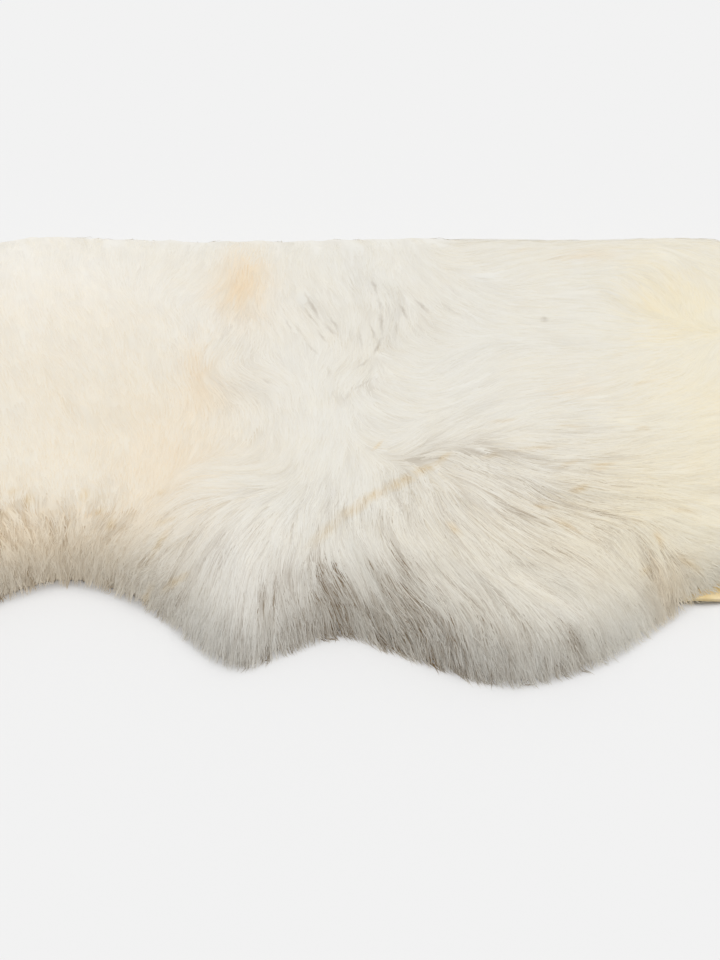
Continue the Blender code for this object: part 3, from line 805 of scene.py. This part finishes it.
def ribbons(name, spine, edge, face, width, strand, shade):
    """A mesh of tapered ribbons, two points wide but for one at the tip."""
    count, points_each, _ = spine.shape
    pairs = points_each - 1
    each = 2 * pairs + 1
    shares = np.linspace(0.0, 1.0, points_each)
    taper = np.interp(shares, *zip(*WIDTH_ALONG))
    half = edge * (width[:, None] * taper[None, :] / 2)[..., None]
    verts = np.empty((count, each, 3))
    verts[:, 0:-1:2] = spine[:, :-1] - half[:, :-1]
    verts[:, 1:-1:2] = spine[:, :-1] + half[:, :-1]
    verts[:, -1] = spine[:, -1]
    verts[..., 2] = np.maximum(verts[..., 2], LOWEST / 2)
    normals = np.empty_like(verts)
    normals[:, 0:-1:2] = face[:, :-1, 0]
    normals[:, 1:-1:2] = face[:, :-1, 1]
    normals[:, -1] = face[:, -1].mean(1)
    normals /= np.linalg.norm(normals, axis=2, keepdims=True)

    quads = np.array([[2 * k, 2 * k + 2, 2 * k + 3, 2 * k + 1] for k in range(pairs - 1)])
    tip = np.array([2 * pairs - 2, 2 * pairs, 2 * pairs - 1])
    pattern = np.concatenate([quads.ravel(), tip])
    loops = (np.arange(count)[:, None] * each + pattern[None, :]).ravel()
    sizes = np.tile(np.array([4] * (pairs - 1) + [3]), count)
    starts = np.concatenate([[0], np.cumsum(sizes)[:-1]])

    along = np.concatenate([np.repeat(shares[:-1], 2), [1.0]])
    dark = np.column_stack([np.repeat(shade[:, :-1], 2, axis=1), shade[:, -1]]).ravel()
    values = [("along", np.tile(along, count)), ("strand", np.repeat(strand, each)), ("dark", dark)]
    values += [(colour, np.repeat(share, each)) for colour, share in stains(spine[:, 1, :2])]

    # Each hair has its own cell of the atlas
    across = np.concatenate([np.tile([0.0, 1.0], pairs), [0.5]])
    cells = int(np.ceil(np.sqrt(count)))
    column, row = np.arange(count) % cells, np.arange(count) // cells
    u = (column[:, None] + HAIR_CELL_SIDE + (1.0 - 2 * HAIR_CELL_SIDE) * across[None, :]) / cells
    v = (row[:, None] + HAIR_CELL_END + (1.0 - 2 * HAIR_CELL_END) * along[None, :]) / cells
    atlas = np.stack([u, v], axis=2).reshape(-1, 2)
    return fleece_mesh(name, verts.reshape(-1, 3), loops, starts, values, atlas, normals.reshape(-1, 3))


# Where the wool is stained, by colour, and where it is paler: where, x, y, radius along x and y, strength
STAINS = {
    "pale": (
        ("far shoulder", -0.340, 0.160, 0.210, 0.130, 1.00),
        # On the stifle's crest the paler wool is a painted highlight
        ("stifle", -0.085, -0.190, 0.040, 0.065, 0.55),
    ),
    "peach": (
        ("shoulder", -0.330, 0.000, 0.200, 0.180, 0.75),
        ("ribs", -0.190, -0.071, 0.090, 0.160, 0.65),
        ("belly", -0.260, -0.151, 0.120, 0.060, 0.55),
        ("stifle", -0.070, -0.170, 0.070, 0.070, -0.30),
        ("leg", 0.135, -0.150, 0.095, 0.075, 0.34),
    ),
    "butter": (
        ("rump", 0.400, 0.039, 0.180, 0.300, 0.72),
        ("rump dip", 0.275, 0.144, 0.045, 0.060, 0.85),
        ("rump side", 0.277, -0.030, 0.060, 0.080, 0.40),
        ("bare edge", 0.275, -0.160, 0.080, 0.060, 0.35),
        ("thigh", 0.195, -0.120, 0.065, 0.065, 0.42),
        ("leg", 0.115, -0.165, 0.090, 0.060, 0.26),
    ),
    "amber": (
        ("flank seam", -0.106, 0.184, 0.022, 0.050, 0.55),
        ("flank", -0.141, 0.050, 0.016, 0.045, 0.30),
        ("belly corner", -0.150, -0.071, 0.050, 0.070, 0.20),
        ("belly band", -0.270, -0.150, 0.100, 0.024, 0.28),
        ("ribs edge", -0.290, -0.190, 0.090, 0.030, 0.12),
        ("cowlick", 0.235, -0.200, 0.026, 0.026, 0.28),
        ("far back", 0.195, 0.212, 0.020, 0.012, 0.20),
        ("back", 0.165, 0.004, 0.016, 0.014, 0.15),
    ),
}
# Fine marks in the wool: where, from x, y to x, y, half width, strength
AMBER_MARKS = (
    ("parting", -0.043, -0.192, -0.009, -0.150, 0.0030, 0.42),
    ("parting", -0.020, -0.159, 0.009, -0.137, 0.0032, 0.62),
    ("parting", -0.006, -0.147, 0.026, -0.119, 0.0031, 0.70),
    ("parting", 0.011, -0.129, 0.053, -0.102, 0.0029, 0.70),
    ("parting", 0.037, -0.112, 0.067, -0.089, 0.0030, 0.74),
    ("parting end", 0.059, -0.095, 0.076, -0.076, 0.0017, 0.60),
    ("above parting", 0.010, -0.074, 0.020, -0.059, 0.0013, 0.60),
    ("leg streak", 0.069, -0.166, 0.079, -0.182, 0.0021, 0.75),
    ("thigh streak", 0.151, -0.157, 0.174, -0.175, 0.0023, 0.60),
    ("thigh streak", 0.170, -0.124, 0.186, -0.119, 0.0021, 0.85),
    ("thigh streak", 0.137, -0.143, 0.157, -0.146, 0.0017, 0.65),
    ("flank streak", 0.187, -0.092, 0.211, -0.088, 0.0015, 0.65),
    ("flank streak", 0.163, -0.095, 0.181, -0.083, 0.0015, 0.45),
    ("rump dab", 0.235, -0.163, 0.239, -0.181, 0.0023, 0.70),
    ("rump streak", 0.245, -0.140, 0.274, -0.140, 0.0019, 0.35),
    ("rump streak", 0.249, -0.182, 0.271, -0.187, 0.0019, 0.65),
    ("rump streak", 0.253, -0.205, 0.271, -0.205, 0.0017, 0.60),
    ("cowlick root", 0.219, -0.208, 0.229, -0.198, 0.0019, 0.60),
    ("belly dab", -0.281, -0.126, -0.280, -0.114, 0.0023, 0.55),
    ("belly dab", -0.268, -0.134, -0.267, -0.121, 0.0023, 0.55),
    ("belly dab", -0.224, -0.124, -0.223, -0.111, 0.0023, 0.60),
    ("belly dab", -0.214, -0.139, -0.206, -0.135, 0.0023, 0.55),
    ("belly dab", -0.202, -0.156, -0.196, -0.149, 0.0021, 0.60),
    ("belly dab", -0.166, -0.120, -0.155, -0.121, 0.0023, 0.35),
    ("belly turn", -0.165, -0.159, -0.147, -0.153, 0.0019, 0.50),
    ("belly turn", -0.167, -0.186, -0.151, -0.165, 0.0019, 0.55),
    ("belly turn", -0.156, -0.208, -0.134, -0.205, 0.0019, 0.75),
    ("belly turn", -0.179, -0.208, -0.162, -0.202, 0.0019, 0.60),
    ("back streak", 0.130, 0.225, 0.175, 0.235, 0.0017, 0.30),
    ("rump streak", 0.229, 0.015, 0.258, 0.025, 0.0017, 0.35),
    ("rump streak", 0.218, 0.058, 0.233, 0.064, 0.0015, 0.30),
    ("flank streak", 0.109, -0.034, 0.134, -0.030, 0.0017, 0.40),
    ("flank streak", 0.126, -0.074, 0.168, -0.066, 0.0019, 0.45),
    ("flank streak", 0.099, -0.083, 0.115, -0.080, 0.0017, 0.40),
    ("flank streak", 0.165, -0.040, 0.193, -0.040, 0.0017, 0.30),
    ("rump streak", 0.232, -0.041, 0.242, -0.043, 0.0017, 0.35),
    ("flank streak", 0.190, -0.096, 0.202, -0.093, 0.0019, 0.45),
)
# Painted shade in strokes along the creases of the swirl, side lock and seam and beside the leg and cowlick,
# and one real dark speck: where, from x, y to x, y, half width, strength
SHADE_STROKES_AND_SPECK = (
    ("swirl", 0.010, 0.181, 0.016, 0.151, 0.0010, 0.55),
    ("swirl", 0.016, 0.154, 0.020, 0.124, 0.0010, 0.40),
    ("swirl", 0.018, 0.135, 0.020, 0.097, 0.0012, 0.60),
    ("swirl", 0.020, 0.100, 0.011, 0.070, 0.0012, 0.60),
    ("swirl", 0.012, 0.072, -0.007, 0.048, 0.0012, 0.45),
    ("swirl foot", 0.014, 0.035, -0.009, 0.013, 0.0010, 0.40),
    ("swirl foot", -0.008, 0.016, -0.014, -0.007, 0.0010, 0.35),
    ("swirl side", -0.001, 0.109, 0.002, 0.075, 0.0008, 0.40),
    ("swirl side", 0.008, 0.118, 0.015, 0.091, 0.0008, 0.50),
    ("swirl right", 0.033, 0.144, 0.044, 0.114, 0.0010, 0.65),
    ("swirl right", 0.048, 0.148, 0.064, 0.120, 0.0011, 0.60),
    ("swirl right", 0.073, 0.138, 0.087, 0.117, 0.0008, 0.35),
    ("swirl right", 0.032, 0.118, 0.033, 0.096, 0.0008, 0.40),
    ("side lock", -0.051, 0.157, -0.034, 0.115, 0.0011, 0.60),
    ("side lock", -0.036, 0.118, -0.017, 0.096, 0.0012, 0.40),
    ("side lock", -0.029, 0.127, -0.017, 0.102, 0.0008, 0.45),
    ("side lock", -0.040, 0.108, -0.028, 0.081, 0.0009, 0.50),
    ("side lock", -0.051, 0.088, -0.035, 0.063, 0.0010, 0.40),
    ("side lock", -0.068, 0.117, -0.059, 0.096, 0.0008, 0.40),
    ("seam", -0.086, 0.031, -0.074, 0.020, 0.0010, 0.40),
    ("seam", -0.027, 0.051, -0.027, 0.028, 0.0010, 0.30),
    ("swirl side", -0.054, 0.144, -0.034, 0.104, 0.0007, 0.45),
    ("swirl side", -0.064, 0.117, -0.042, 0.080, 0.0007, 0.30),
    ("speck", 0.163, 0.114, 0.166, 0.111, 0.0025, 0.50),
    ("leg shade", 0.141, -0.198, 0.153, -0.212, 0.0025, 0.35),
    ("leg shade", 0.154, -0.258, 0.179, -0.276, 0.0032, 0.60),
    ("cowlick shade", 0.220, -0.217, 0.239, -0.227, 0.0025, 0.45),
)
MARK_ENDS, MARK_SIDES = 1.5, 2.4  # how far a mark fades out past its ends and to its sides, in half widths


def stains(points):
    """How strongly each stain colours the wool at a point."""
    x, y = points.T
    return [(colour, np.clip(blobs(rows, x, y), 0.0, 1.0)) for colour, rows in STAINS.items()]


# ---------------------------------------------------------------- materials


def linear(red, green, blue):
    """An sRGB colour, 0 to 255, as linear RGBA."""
    return tuple((c / 255 / 12.92 if c < 10.3 else ((c / 255 + 0.055) / 1.055) ** 2.4)
                 for c in (red, green, blue)) + (1.0,)


WHITE_TIP = linear(227, 225, 218)
WHITE_ROOT = linear(222, 218, 207)
PALE = linear(235, 232, 225)
PEACH_TIP = linear(230, 224, 211)
PEACH_ROOT = linear(227, 216, 196)
BUTTER = linear(232, 225, 204)
AMBER = linear(232, 205, 160)
STREAK = linear(216, 191, 140)
WHITE_SHADE = (0.275, 0.192, 0.108, 1.0)  # what the shade between locks leaves of white wool's colour
PEACH_SHADE = (0.46, 0.36, 0.235, 1.0)
LEATHER = linear(236, 219, 178)
LEATHER_DARK = linear(214, 186, 128)
FLOOR = linear(232, 232, 232)
FLOOR_PALE = linear(236, 236, 236)
CLOUD_TINT = linear(255, 248, 234)  # what the wool's colour is multiplied by in its warmer clouds
# Clouds: scale of the noise, where in its range they begin and are full, and their share
WOOL_CLOUDS = (14.0, 0.35, 0.65, 0.15)
LEATHER_CLOUDS = (45.0, 0.35, 0.7, 1.0)
LEATHER_GRAIN = (900.0, 0.3, 0.8, 0.25)
FLOOR_CLOUDS = (3.0, 0.3, 0.7, 0.06)
CLOUD_DETAIL, GRAIN_DETAIL = 3.0, 5.0  # how fine the leather's noise gets
GRAIN_BUMP, GRAIN_DEPTH = 0.5, 0.0006
MARK_WANDER = (160.0, 0.0045)  # scale of the noise that breaks up the marks, and how far it pushes them
MARKED_STRANDS = (0.95, 0.30)  # how fully strands take up an amber mark, from the first to the last
# the painted shade strokes and the speck are tinted like the painted shade between locks
GREY_SHARE = 0.6  # how dark a grey mark is next to the shade between locks
ROOT_TO_TIP = (0.15, 0.85)  # the colour goes from the root's to the tip's along this stretch of a hair
COAT_LOWS = (-2.2, 0.6)  # lock relief at which the coat has the most of the root's colour, and none
COAT_ROOT_SHARE = 0.5  # the most that it has of it


class Nodes:
    """Short calls for one material's node tree."""

    def __init__(self, name):
        self.material = bpy.data.materials.new(name)
        self.material.use_nodes = True
        self.tree = self.material.node_tree
        self.shader = self.tree.nodes["Principled BSDF"]

    def feed(self, node, inputs):
        """Links each given input to another node's output, or sets it to a value."""
        for key, value in inputs.items():
            if isinstance(value, bpy.types.NodeSocket):
                self.tree.links.new(value, node.inputs[key])
            else:
                node.inputs[key].default_value = value

    def add(self, kind, inputs, result, **settings):
        """A new node's result, from its settings and inputs."""
        node = self.tree.nodes.new(kind)
        for key, value in settings.items():
            setattr(node, key, value)
        self.feed(node, inputs)
        return node.outputs[result]

    def attribute(self, name):
        """A value that the mesh has on its points."""
        return self.add("ShaderNodeAttribute", {}, "Fac", attribute_name=name)

    def remap(self, value, low, high, to_low, to_high):
        """A value brought from one range into another."""
        inputs = {"Value": value, "From Min": low, "From Max": high, "To Min": to_low, "To Max": to_high}
        return self.add("ShaderNodeMapRange", inputs, "Result")

    def mix(self, factor, first, second, blend="MIX"):
        """The first colour with a share of the second."""
        inputs = {"Factor": factor, "A": first, "B": second}
        return self.add("ShaderNodeMix", inputs, "Result", data_type="RGBA", blend_type=blend)

    def tinted(self, share, colour, tint):
        """A colour with a share of it multiplied by a tint."""
        return self.mix(share, colour, self.mix(1.0, colour, tint, "MULTIPLY"))

    def math(self, operation, first, second):
        """The result of an operation on two values."""
        return self.add("ShaderNodeMath", {0: first, 1: second}, "Value", operation=operation)

    def shift(self, operation, *vectors):
        """The result of an operation on vectors."""
        return self.add("ShaderNodeVectorMath", dict(enumerate(vectors)), "Vector", operation=operation)

    def place(self):
        """Places on the object."""
        return self.add("ShaderNodeTexCoord", {}, "Object")

    def noise(self, scale, detail):
        """Soft noise from 0 to 1, finer with a greater scale."""
        inputs = {"Vector": self.place(), "Scale": scale, "Detail": detail}
        return self.add("ShaderNodeTexNoise", inputs, "Fac")

    def as_share(self, value, low, high, share):
        """Nothing where a value is low, the given share where it is high."""
        return self.remap(value, low, high, 0.0, share)

    def clouds(self, scale, low, high, share, detail=2.0):
        """Soft clouds with the given share where they are full."""
        return self.as_share(self.noise(scale, detail), low, high, share)

    def wandering(self, scale, strength):
        """Places on the object, each pushed a little to a side."""
        place = self.place()
        cloud = self.add("ShaderNodeTexNoise", {"Vector": place, "Scale": scale}, "Color")
        pushed = self.shift("MULTIPLY_ADD", cloud, (strength, strength, 0.0), place)
        return self.shift("SUBTRACT", pushed, (strength / 2, strength / 2, 0.0))

    def marks(self, rows, place):
        """How strongly the given fine marks show at a place."""
        total = 0.0
        for _, x0, y0, x1, y1, half_width, strength in rows:
            length = math.hypot(x1 - x0, y1 - y0)
            oval = {
                "Vector": place,
                "Location": ((x0 + x1) / 2, (y0 + y1) / 2, 0.0),
                "Rotation": (0.0, 0.0, math.atan2(y1 - y0, x1 - x0)),
                "Scale": (length / 2 + half_width * MARK_ENDS, half_width * MARK_SIDES, 1.0),
            }
            within = self.add("ShaderNodeMapping", oval, "Vector", vector_type="TEXTURE")
            ball = self.add("ShaderNodeTexGradient", {"Vector": within}, "Fac", gradient_type="SPHERICAL")
            total = self.math("MAXIMUM", total, self.math("MULTIPLY", ball, strength))
        return total

    def finish(self, colour, roughness, specular, sheen=0.0):
        """The material, with this colour and gloss."""
        self.feed(self.shader, {"Base Color": colour, "Roughness": roughness,
                                "Specular IOR Level": specular, "Sheen Weight": sheen})
        return self.material


def stained(nodes, white, peach):
    """Wool's colour from its stains and paler patches (a painted highlight on the stifle's crest), with
    painted shade between its locks, in the rug's own shade and along its creases.
    """
    colour = nodes.mix(nodes.attribute("pale"), white, PALE)
    for stain, stain_colour in (("peach", peach), ("butter", BUTTER), ("amber", AMBER)):
        colour = nodes.mix(nodes.attribute(stain), colour, stain_colour)
    colour = nodes.tinted(nodes.clouds(*WOOL_CLOUDS), colour, CLOUD_TINT)
    place = nodes.wandering(*MARK_WANDER)
    fibre = nodes.remap(nodes.attribute("strand"), 0.0, 1.0, *MARKED_STRANDS)
    amber = nodes.math("MULTIPLY", nodes.marks(AMBER_MARKS, place), fibre)
    colour = nodes.mix(amber, colour, STREAK)
    # painted shade strokes along the creases, and one dark speck
    grey = nodes.math("MULTIPLY", nodes.marks(SHADE_STROKES_AND_SPECK, place), GREY_SHARE)
    dark = nodes.math("MAXIMUM", nodes.attribute("dark"), grey)
    left = nodes.mix(nodes.attribute("peach"), WHITE_SHADE, PEACH_SHADE)
    return nodes.tinted(dark, colour, left)


def wool_material():
    """Ivory wool, warmer at its roots, in peach, butter and amber where the fleece is stained."""
    nodes = Nodes("wool")
    climb = nodes.as_share(nodes.attribute("along"), *ROOT_TO_TIP, 1.0)
    colour = stained(nodes, nodes.mix(climb, WHITE_ROOT, WHITE_TIP), nodes.mix(climb, PEACH_ROOT, PEACH_TIP))
    return nodes.finish(colour, roughness=0.55, specular=0.25, sheen=0.15)


def coat_material():
    """The dense wool: as pale as the hair on it, warmer where it lies low between locks."""
    nodes = Nodes("coat")
    low = nodes.remap(nodes.attribute("relief"), *COAT_LOWS, COAT_ROOT_SHARE, 0.0)
    colour = stained(nodes, nodes.mix(low, WHITE_TIP, WHITE_ROOT), nodes.mix(low, PEACH_TIP, PEACH_ROOT))
    return nodes.finish(colour, roughness=0.8, specular=0.15, sheen=0.1)


def leather_material():
    """Tanned leather, clouded and with a fine grain."""
    nodes = Nodes("leather")
    scale, *shares = LEATHER_GRAIN
    grain = nodes.noise(scale, GRAIN_DETAIL)
    colour = nodes.mix(nodes.clouds(*LEATHER_CLOUDS, CLOUD_DETAIL), LEATHER, LEATHER_DARK)
    colour = nodes.mix(nodes.as_share(grain, *shares), colour, LEATHER_DARK)
    bump = {"Height": grain, "Strength": GRAIN_BUMP, "Distance": GRAIN_DEPTH}
    nodes.feed(nodes.shader, {"Normal": nodes.add("ShaderNodeBump", bump, "Normal")})
    return nodes.finish(colour, roughness=0.7, specular=0.25)


def floor_material():
    """The pale, nearly even studio floor."""
    nodes = Nodes("floor")
    colour = nodes.mix(nodes.clouds(*FLOOR_CLOUDS), FLOOR, FLOOR_PALE)
    return nodes.finish(colour, roughness=0.9, specular=0.0)


# ---------------------------------------------------------------- coat and hide

# A stretch of coat: name, its span in x
COATS = (
    ("coat_fore", -0.500, 0.0),
    ("coat_hind", 0.0, 0.500),
)
COAT_INSET = 0.012  # how far in from the pile's reach the coat ends
BARE_COAT_INSET = 0.006  # how much farther in the coat ends along the bare edge
# The sides of a cell of the coat: its two corners, and the way across it
CELL_SIDES = (
    ((0, 1), (0, -1)),
    ((1, 2), (1, 0)),
    ((2, 3), (0, 1)),
    ((3, 0), (-1, 0)),
)
SKIRT_OUT = 0.004
SKIRT_LEAN = 0.3  # how far the normals at the skirt's foot lean up
FLOOR_GAP = 0.0004
OVER_HIDE = 0.6  # how bare the edge is where the hide comes out under the coat's rim
LOW_SHADE, LOCK_SHADE, COAT_STRAND_SHADE = 0.30, 0.20, 0.15  # less shade on high locks and strands
COAT_GAP_SHADE, COAT_DUSK, COAT_DARKEST = 1.2, 0.7, 0.6  # in the gaps, in the rug's own shade, and the most
ATLAS_EDGE = 0.01  # what is left free round the coat in its atlas

HIDE_INSET = 0.031  # how far in from the pile's reach the hide ends
# The hide's bare edge: how far in from the reach and how high, where it starts and farther on
BARE_HIDE_INSET = (-0.0010, -0.0070)
EDGE_LIFT = (0.0062, 0.0008)
EDGE_SETTLES, EDGE_BLEND = 0.254, 0.050  # the x where it starts to change over, and how far that takes
LIFTED_IN = 0.030  # how far in from the reach the edge begins to lift
RIPPLE, RIPPLE_TURNS = 0.12, 60.0  # how unevenly it lifts, and the ripples' turn in radians per metre
COLUMNS = 300  # points to a ring of the hide
RING_INSETS = (0.0, 0.0012, 0.004, 0.010, 0.020, 0.040, 0.080, 0.160, math.inf)  # the last lies on the spine
SPINE_HALF = 0.37  # half the spine's length
WELD = 0.00001  # points nearer to each other than this are joined
UNDER_GAP = 0.0001  # how far the hide's underside stays off the floor


def rim_edges(cells, corners):
    """The sides of the kept cells that have no kept cell across them, as pairs of points."""
    padded = np.pad(cells, 1)
    edges = []
    for ends, (right, up) in CELL_SIDES:
        across = padded[1 + right:padded.shape[0] - 1 + right, 1 + up:padded.shape[1] - 1 + up]
        edges.append(corners[cells & ~across][:, list(ends)])
    return np.concatenate(edges)


def coats():
    """The dense coat that the long hair lies on, as a fine relief with a skirt round its rim."""
    grade_x, grade_y = np.gradient(COAT, FINE_CELL)
    inside = on_fine(INSET) > COAT_INSET + BARE_COAT_INSET * on_fine(BARE)
    made = []
    for name, *span in COATS:
        i0, i1 = (int(round((x + MAP_X) / FINE_CELL)) for x in span)
        part = slice(i0, i1 + 1)
        keep = inside[part]
        cells = keep[:-1, :-1] & keep[1:, :-1] & keep[:-1, 1:] & keep[1:, 1:]
        number = np.arange(keep.size).reshape(keep.shape)
        corners = np.stack([number[:-1, :-1], number[1:, :-1], number[1:, 1:], number[:-1, 1:]], axis=2)
        verts = np.column_stack([field[part].ravel() for field in (FINE_X, FINE_Y, COAT)])
        normals = np.column_stack([-grade_x[part].ravel(), -grade_y[part].ravel(), np.ones(keep.size)])
        rim = rim_edges(cells, corners)
        for x in span:
            seam = np.abs(verts[rim, 0] - x).max(1) < 1e-6
            rim = rim[~seam]

        # The skirt: from the rim out and down to the floor, or to the hide's top along the bare edge
        ring, place = np.unique(rim, return_inverse=True)
        out = sample(OUT, verts[ring, :2])
        low = verts[ring].copy()
        low[:, :2] += out * SKIRT_OUT
        over_hide = smooth_step(sample(BARE, low[:, :2]) / OVER_HIDE)
        low[:, 2] = FLOOR_GAP + HIDE_THICKNESS * over_hide
        low_number = len(verts) + place.reshape(rim.shape)
        skirt = np.column_stack([rim[:, 1], rim[:, 0], low_number[:, 0], low_number[:, 1]])
        verts = np.vstack([verts, low])
        normals = np.vstack([normals, np.column_stack([out, np.full(len(ring), SKIRT_LEAN)])])
        strands, locks = (field[part].ravel() for field in (STRANDS, LOCKS))
        strands, locks = np.append(strands, strands[ring]), np.append(locks, locks[ring])
        made.append(coat_mesh(name, verts, normals, np.vstack([corners[cells], skirt]), strands, locks))
    return made


def coat_mesh(name, verts, normals, faces, strands, locks):
    """One stretch of coat, without the points that no face uses, with painted shade where it lies low."""
    used, faces = np.unique(faces, return_inverse=True)
    verts, normals, strands, locks = verts[used], normals[used], strands[used], locks[used]
    flat = verts[:, :2]
    normals /= np.linalg.norm(normals, axis=1, keepdims=True)
    hidden = np.clip(LOW_SHADE - LOCK_SHADE * locks - COAT_STRAND_SHADE * strands, 0.0, 1.0)
    in_gaps = sample(PAINTED_GAP_SHADE_MAP, flat) * hidden * COAT_GAP_SHADE
    dark = np.clip(in_gaps + sample(DUSK, flat) * (COAT_DUSK + hidden), 0.0, COAT_DARKEST)
    values = [("dark", dark), ("relief", locks), ("strand", strands)] + stains(flat)
    atlas = ATLAS_EDGE + (1.0 - 2 * ATLAS_EDGE) * (flat - flat.min(0)) / np.ptp(flat, axis=0)
    starts = np.arange(0, faces.size, 4)
    print(name, "triangles", 2 * len(starts))
    return fleece_mesh(name, verts, faces.ravel(), starts, values, atlas, normals)


def even_outline(count):
    """Even points round the pile's reach: half from tail to neck, and half back."""
    neck = [row[0] for row in REACH].index("neck") * CURVE_STEPS
    halves = (OUTLINE[: neck + 1], np.vstack([OUTLINE[neck:], OUTLINE[:1]]))
    made = []
    for half in halves:
        travelled = np.concatenate([[0.0], np.cumsum(np.linalg.norm(np.diff(half, axis=0), axis=1))])
        wanted = np.linspace(0.0, travelled[-1], count // 2, endpoint=False)
        made.append(np.column_stack([np.interp(wanted, travelled, half[:, axis]) for axis in (0, 1)]))
    return np.vstack(made)


def settled(pair, points):
    """The first value where the bare edge starts, the second farther on."""
    share = smooth_step((points[:, 0] - EDGE_SETTLES) / EDGE_BLEND)
    return pair[0] * (1.0 - share) + pair[1] * share


def drawn_in(outline, usual, at_bare_edge):
    """An outline moved in from the reach, by as much as is usual and by as much as at the bare edge."""
    bare = sample(BARE, outline)[:, None]
    out = sample(OUT, outline)
    out /= np.linalg.norm(out, axis=1, keepdims=True)
    return outline - out * (usual * (1.0 - bare) + settled(at_bare_edge, outline)[:, None] * bare)


def hide_height(flat):
    """How high the hide's top lies, with its bare edge a little lifted."""
    lift = settled(EDGE_LIFT, flat) * sample(BARE, flat)
    lift *= (1.0 - smooth_step(sample(INSET, flat) / LIFTED_IN)) ** 2
    ripple = np.sin(flat[:, 0] * RIPPLE_TURNS) * RIPPLE + (1.0 - RIPPLE)
    return HIDE_THICKNESS + lift * ripple


def ringed_sheet(name, outline):
    """Rings of points from the hide's outline in to its spine, joined as one open sheet."""
    count = len(outline)
    turn = 2 * np.pi * np.arange(count) / count
    spine = np.column_stack([SPINE_HALF * np.cos(turn), np.zeros(count)])
    span = np.linalg.norm(spine - outline, axis=1)
    verts, faces = [], []
    for inset in RING_INSETS:
        flat = outline + (spine - outline) * np.minimum(inset / span, 1.0)[:, None]
        verts.append(np.column_stack([flat, hide_height(flat)]))
    for level in range(len(RING_INSETS) - 1):
        lower = level * count + np.arange(count)
        after = level * count + (np.arange(count) + 1) % count
        faces += np.column_stack([lower, after, after + count, lower + count]).tolist()
    mesh = bpy.data.meshes.new(name)
    mesh.from_pydata(np.vstack(verts).tolist(), [], faces)
    obj = bpy.data.objects.new(name, mesh)
    bpy.context.scene.collection.objects.link(obj)
    weld = obj.modifiers.new("weld", "WELD")
    weld.merge_threshold = WELD
    mesh.shade_smooth()
    return obj


def hide():
    """The tanned hide, with its outline and its area: a thin sheet whose bare edge curls up a little."""
    outline = drawn_in(even_outline(COLUMNS), HIDE_INSET, BARE_HIDE_INSET)
    obj = ringed_sheet("hide_sheet", outline)
    solid = obj.modifiers.new("thickness", "SOLIDIFY")
    solid.thickness = HIDE_THICKNESS - UNDER_GAP
    solid.offset = -1.0
    obj.data.materials.append(leather_material())
    x, y = outline.T
    area = abs(np.dot(x, np.roll(y, -1)) - np.dot(y, np.roll(x, -1))) / 2
    return obj, outline, area


# ---------------------------------------------------------------- put together

wool = wool_material()
fur = []
for number, tract in enumerate(TRACTS):
    piece = grow(*tract, seed=SEED + number)
    piece.data.materials.append(wool)
    fur.append(piece)

coat = coats()
for piece in coat:
    piece.data.materials.append(coat_material())
leather, hide_outline, hide_area = hide()

for piece in coat + fur:
    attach(piece, "root")
    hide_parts("fleece")
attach(leather, "root")
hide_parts("hide")

# ---------------------------------------------------------------- floor, light and camera

FLOOR_HALF = 8.0
SUN_STRENGTH = 1.82
SUN_WIDTH = math.radians(60)  # how much of the sky it fills, for soft shadows
SUN_TILT = (math.radians(-18), math.radians(6), 0.0)
SKY_STRENGTH = 0.55
CAMERA_ELEVATION = math.radians(40)
CAMERA_LENS = 80.0
CAMERA_DISTANCE = 1.8133
AIM = Vector((0.0, -0.0465, 0.0))


def add_floor():
    """A level floor a hair's breadth under the rug."""
    mesh = bpy.data.meshes.new("floor")
    corners = [(x * FLOOR_HALF, y * FLOOR_HALF, 0.0) for x, y in ((-1, -1), (1, -1), (1, 1), (-1, 1))]
    mesh.from_pydata(corners, [], [(0, 1, 2, 3)])
    obj = bpy.data.objects.new("floor", mesh)
    obj.location.z = -FLOOR_GAP
    mesh.materials.append(floor_material())
    bpy.context.scene.collection.objects.link(obj)


def add_light():
    """A wide, soft light from the far side above, under an even white sky."""
    sun = bpy.data.lights.new("key", "SUN")
    sun.energy = SUN_STRENGTH
    sun.angle = SUN_WIDTH
    obj = bpy.data.objects.new("key", sun)
    obj.rotation_euler = SUN_TILT
    bpy.context.scene.collection.objects.link(obj)
    world = bpy.data.worlds.new("studio")
    bpy.context.scene.world = world
    world.use_nodes = True
    sky = world.node_tree.nodes["Background"]
    sky.inputs["Color"].default_value = (1.0, 1.0, 1.0, 1.0)
    sky.inputs["Strength"].default_value = SKY_STRENGTH


def add_camera():
    """A camera that looks down at the rug from its near side."""
    data = bpy.data.cameras.new("camera")
    data.sensor_fit = "VERTICAL"
    data.sensor_height = 36.0
    data.lens = CAMERA_LENS
    obj = bpy.data.objects.new("camera", data)
    back = Vector((0.0, -math.cos(CAMERA_ELEVATION), math.sin(CAMERA_ELEVATION)))
    obj.location = AIM + back * CAMERA_DISTANCE
    obj.rotation_euler = (math.pi / 2 - CAMERA_ELEVATION, 0.0, 0.0)
    bpy.context.scene.collection.objects.link(obj)
    bpy.context.scene.camera = obj


add_floor()
add_light()
add_camera()
bpy.context.scene.view_settings.view_transform = "Standard"
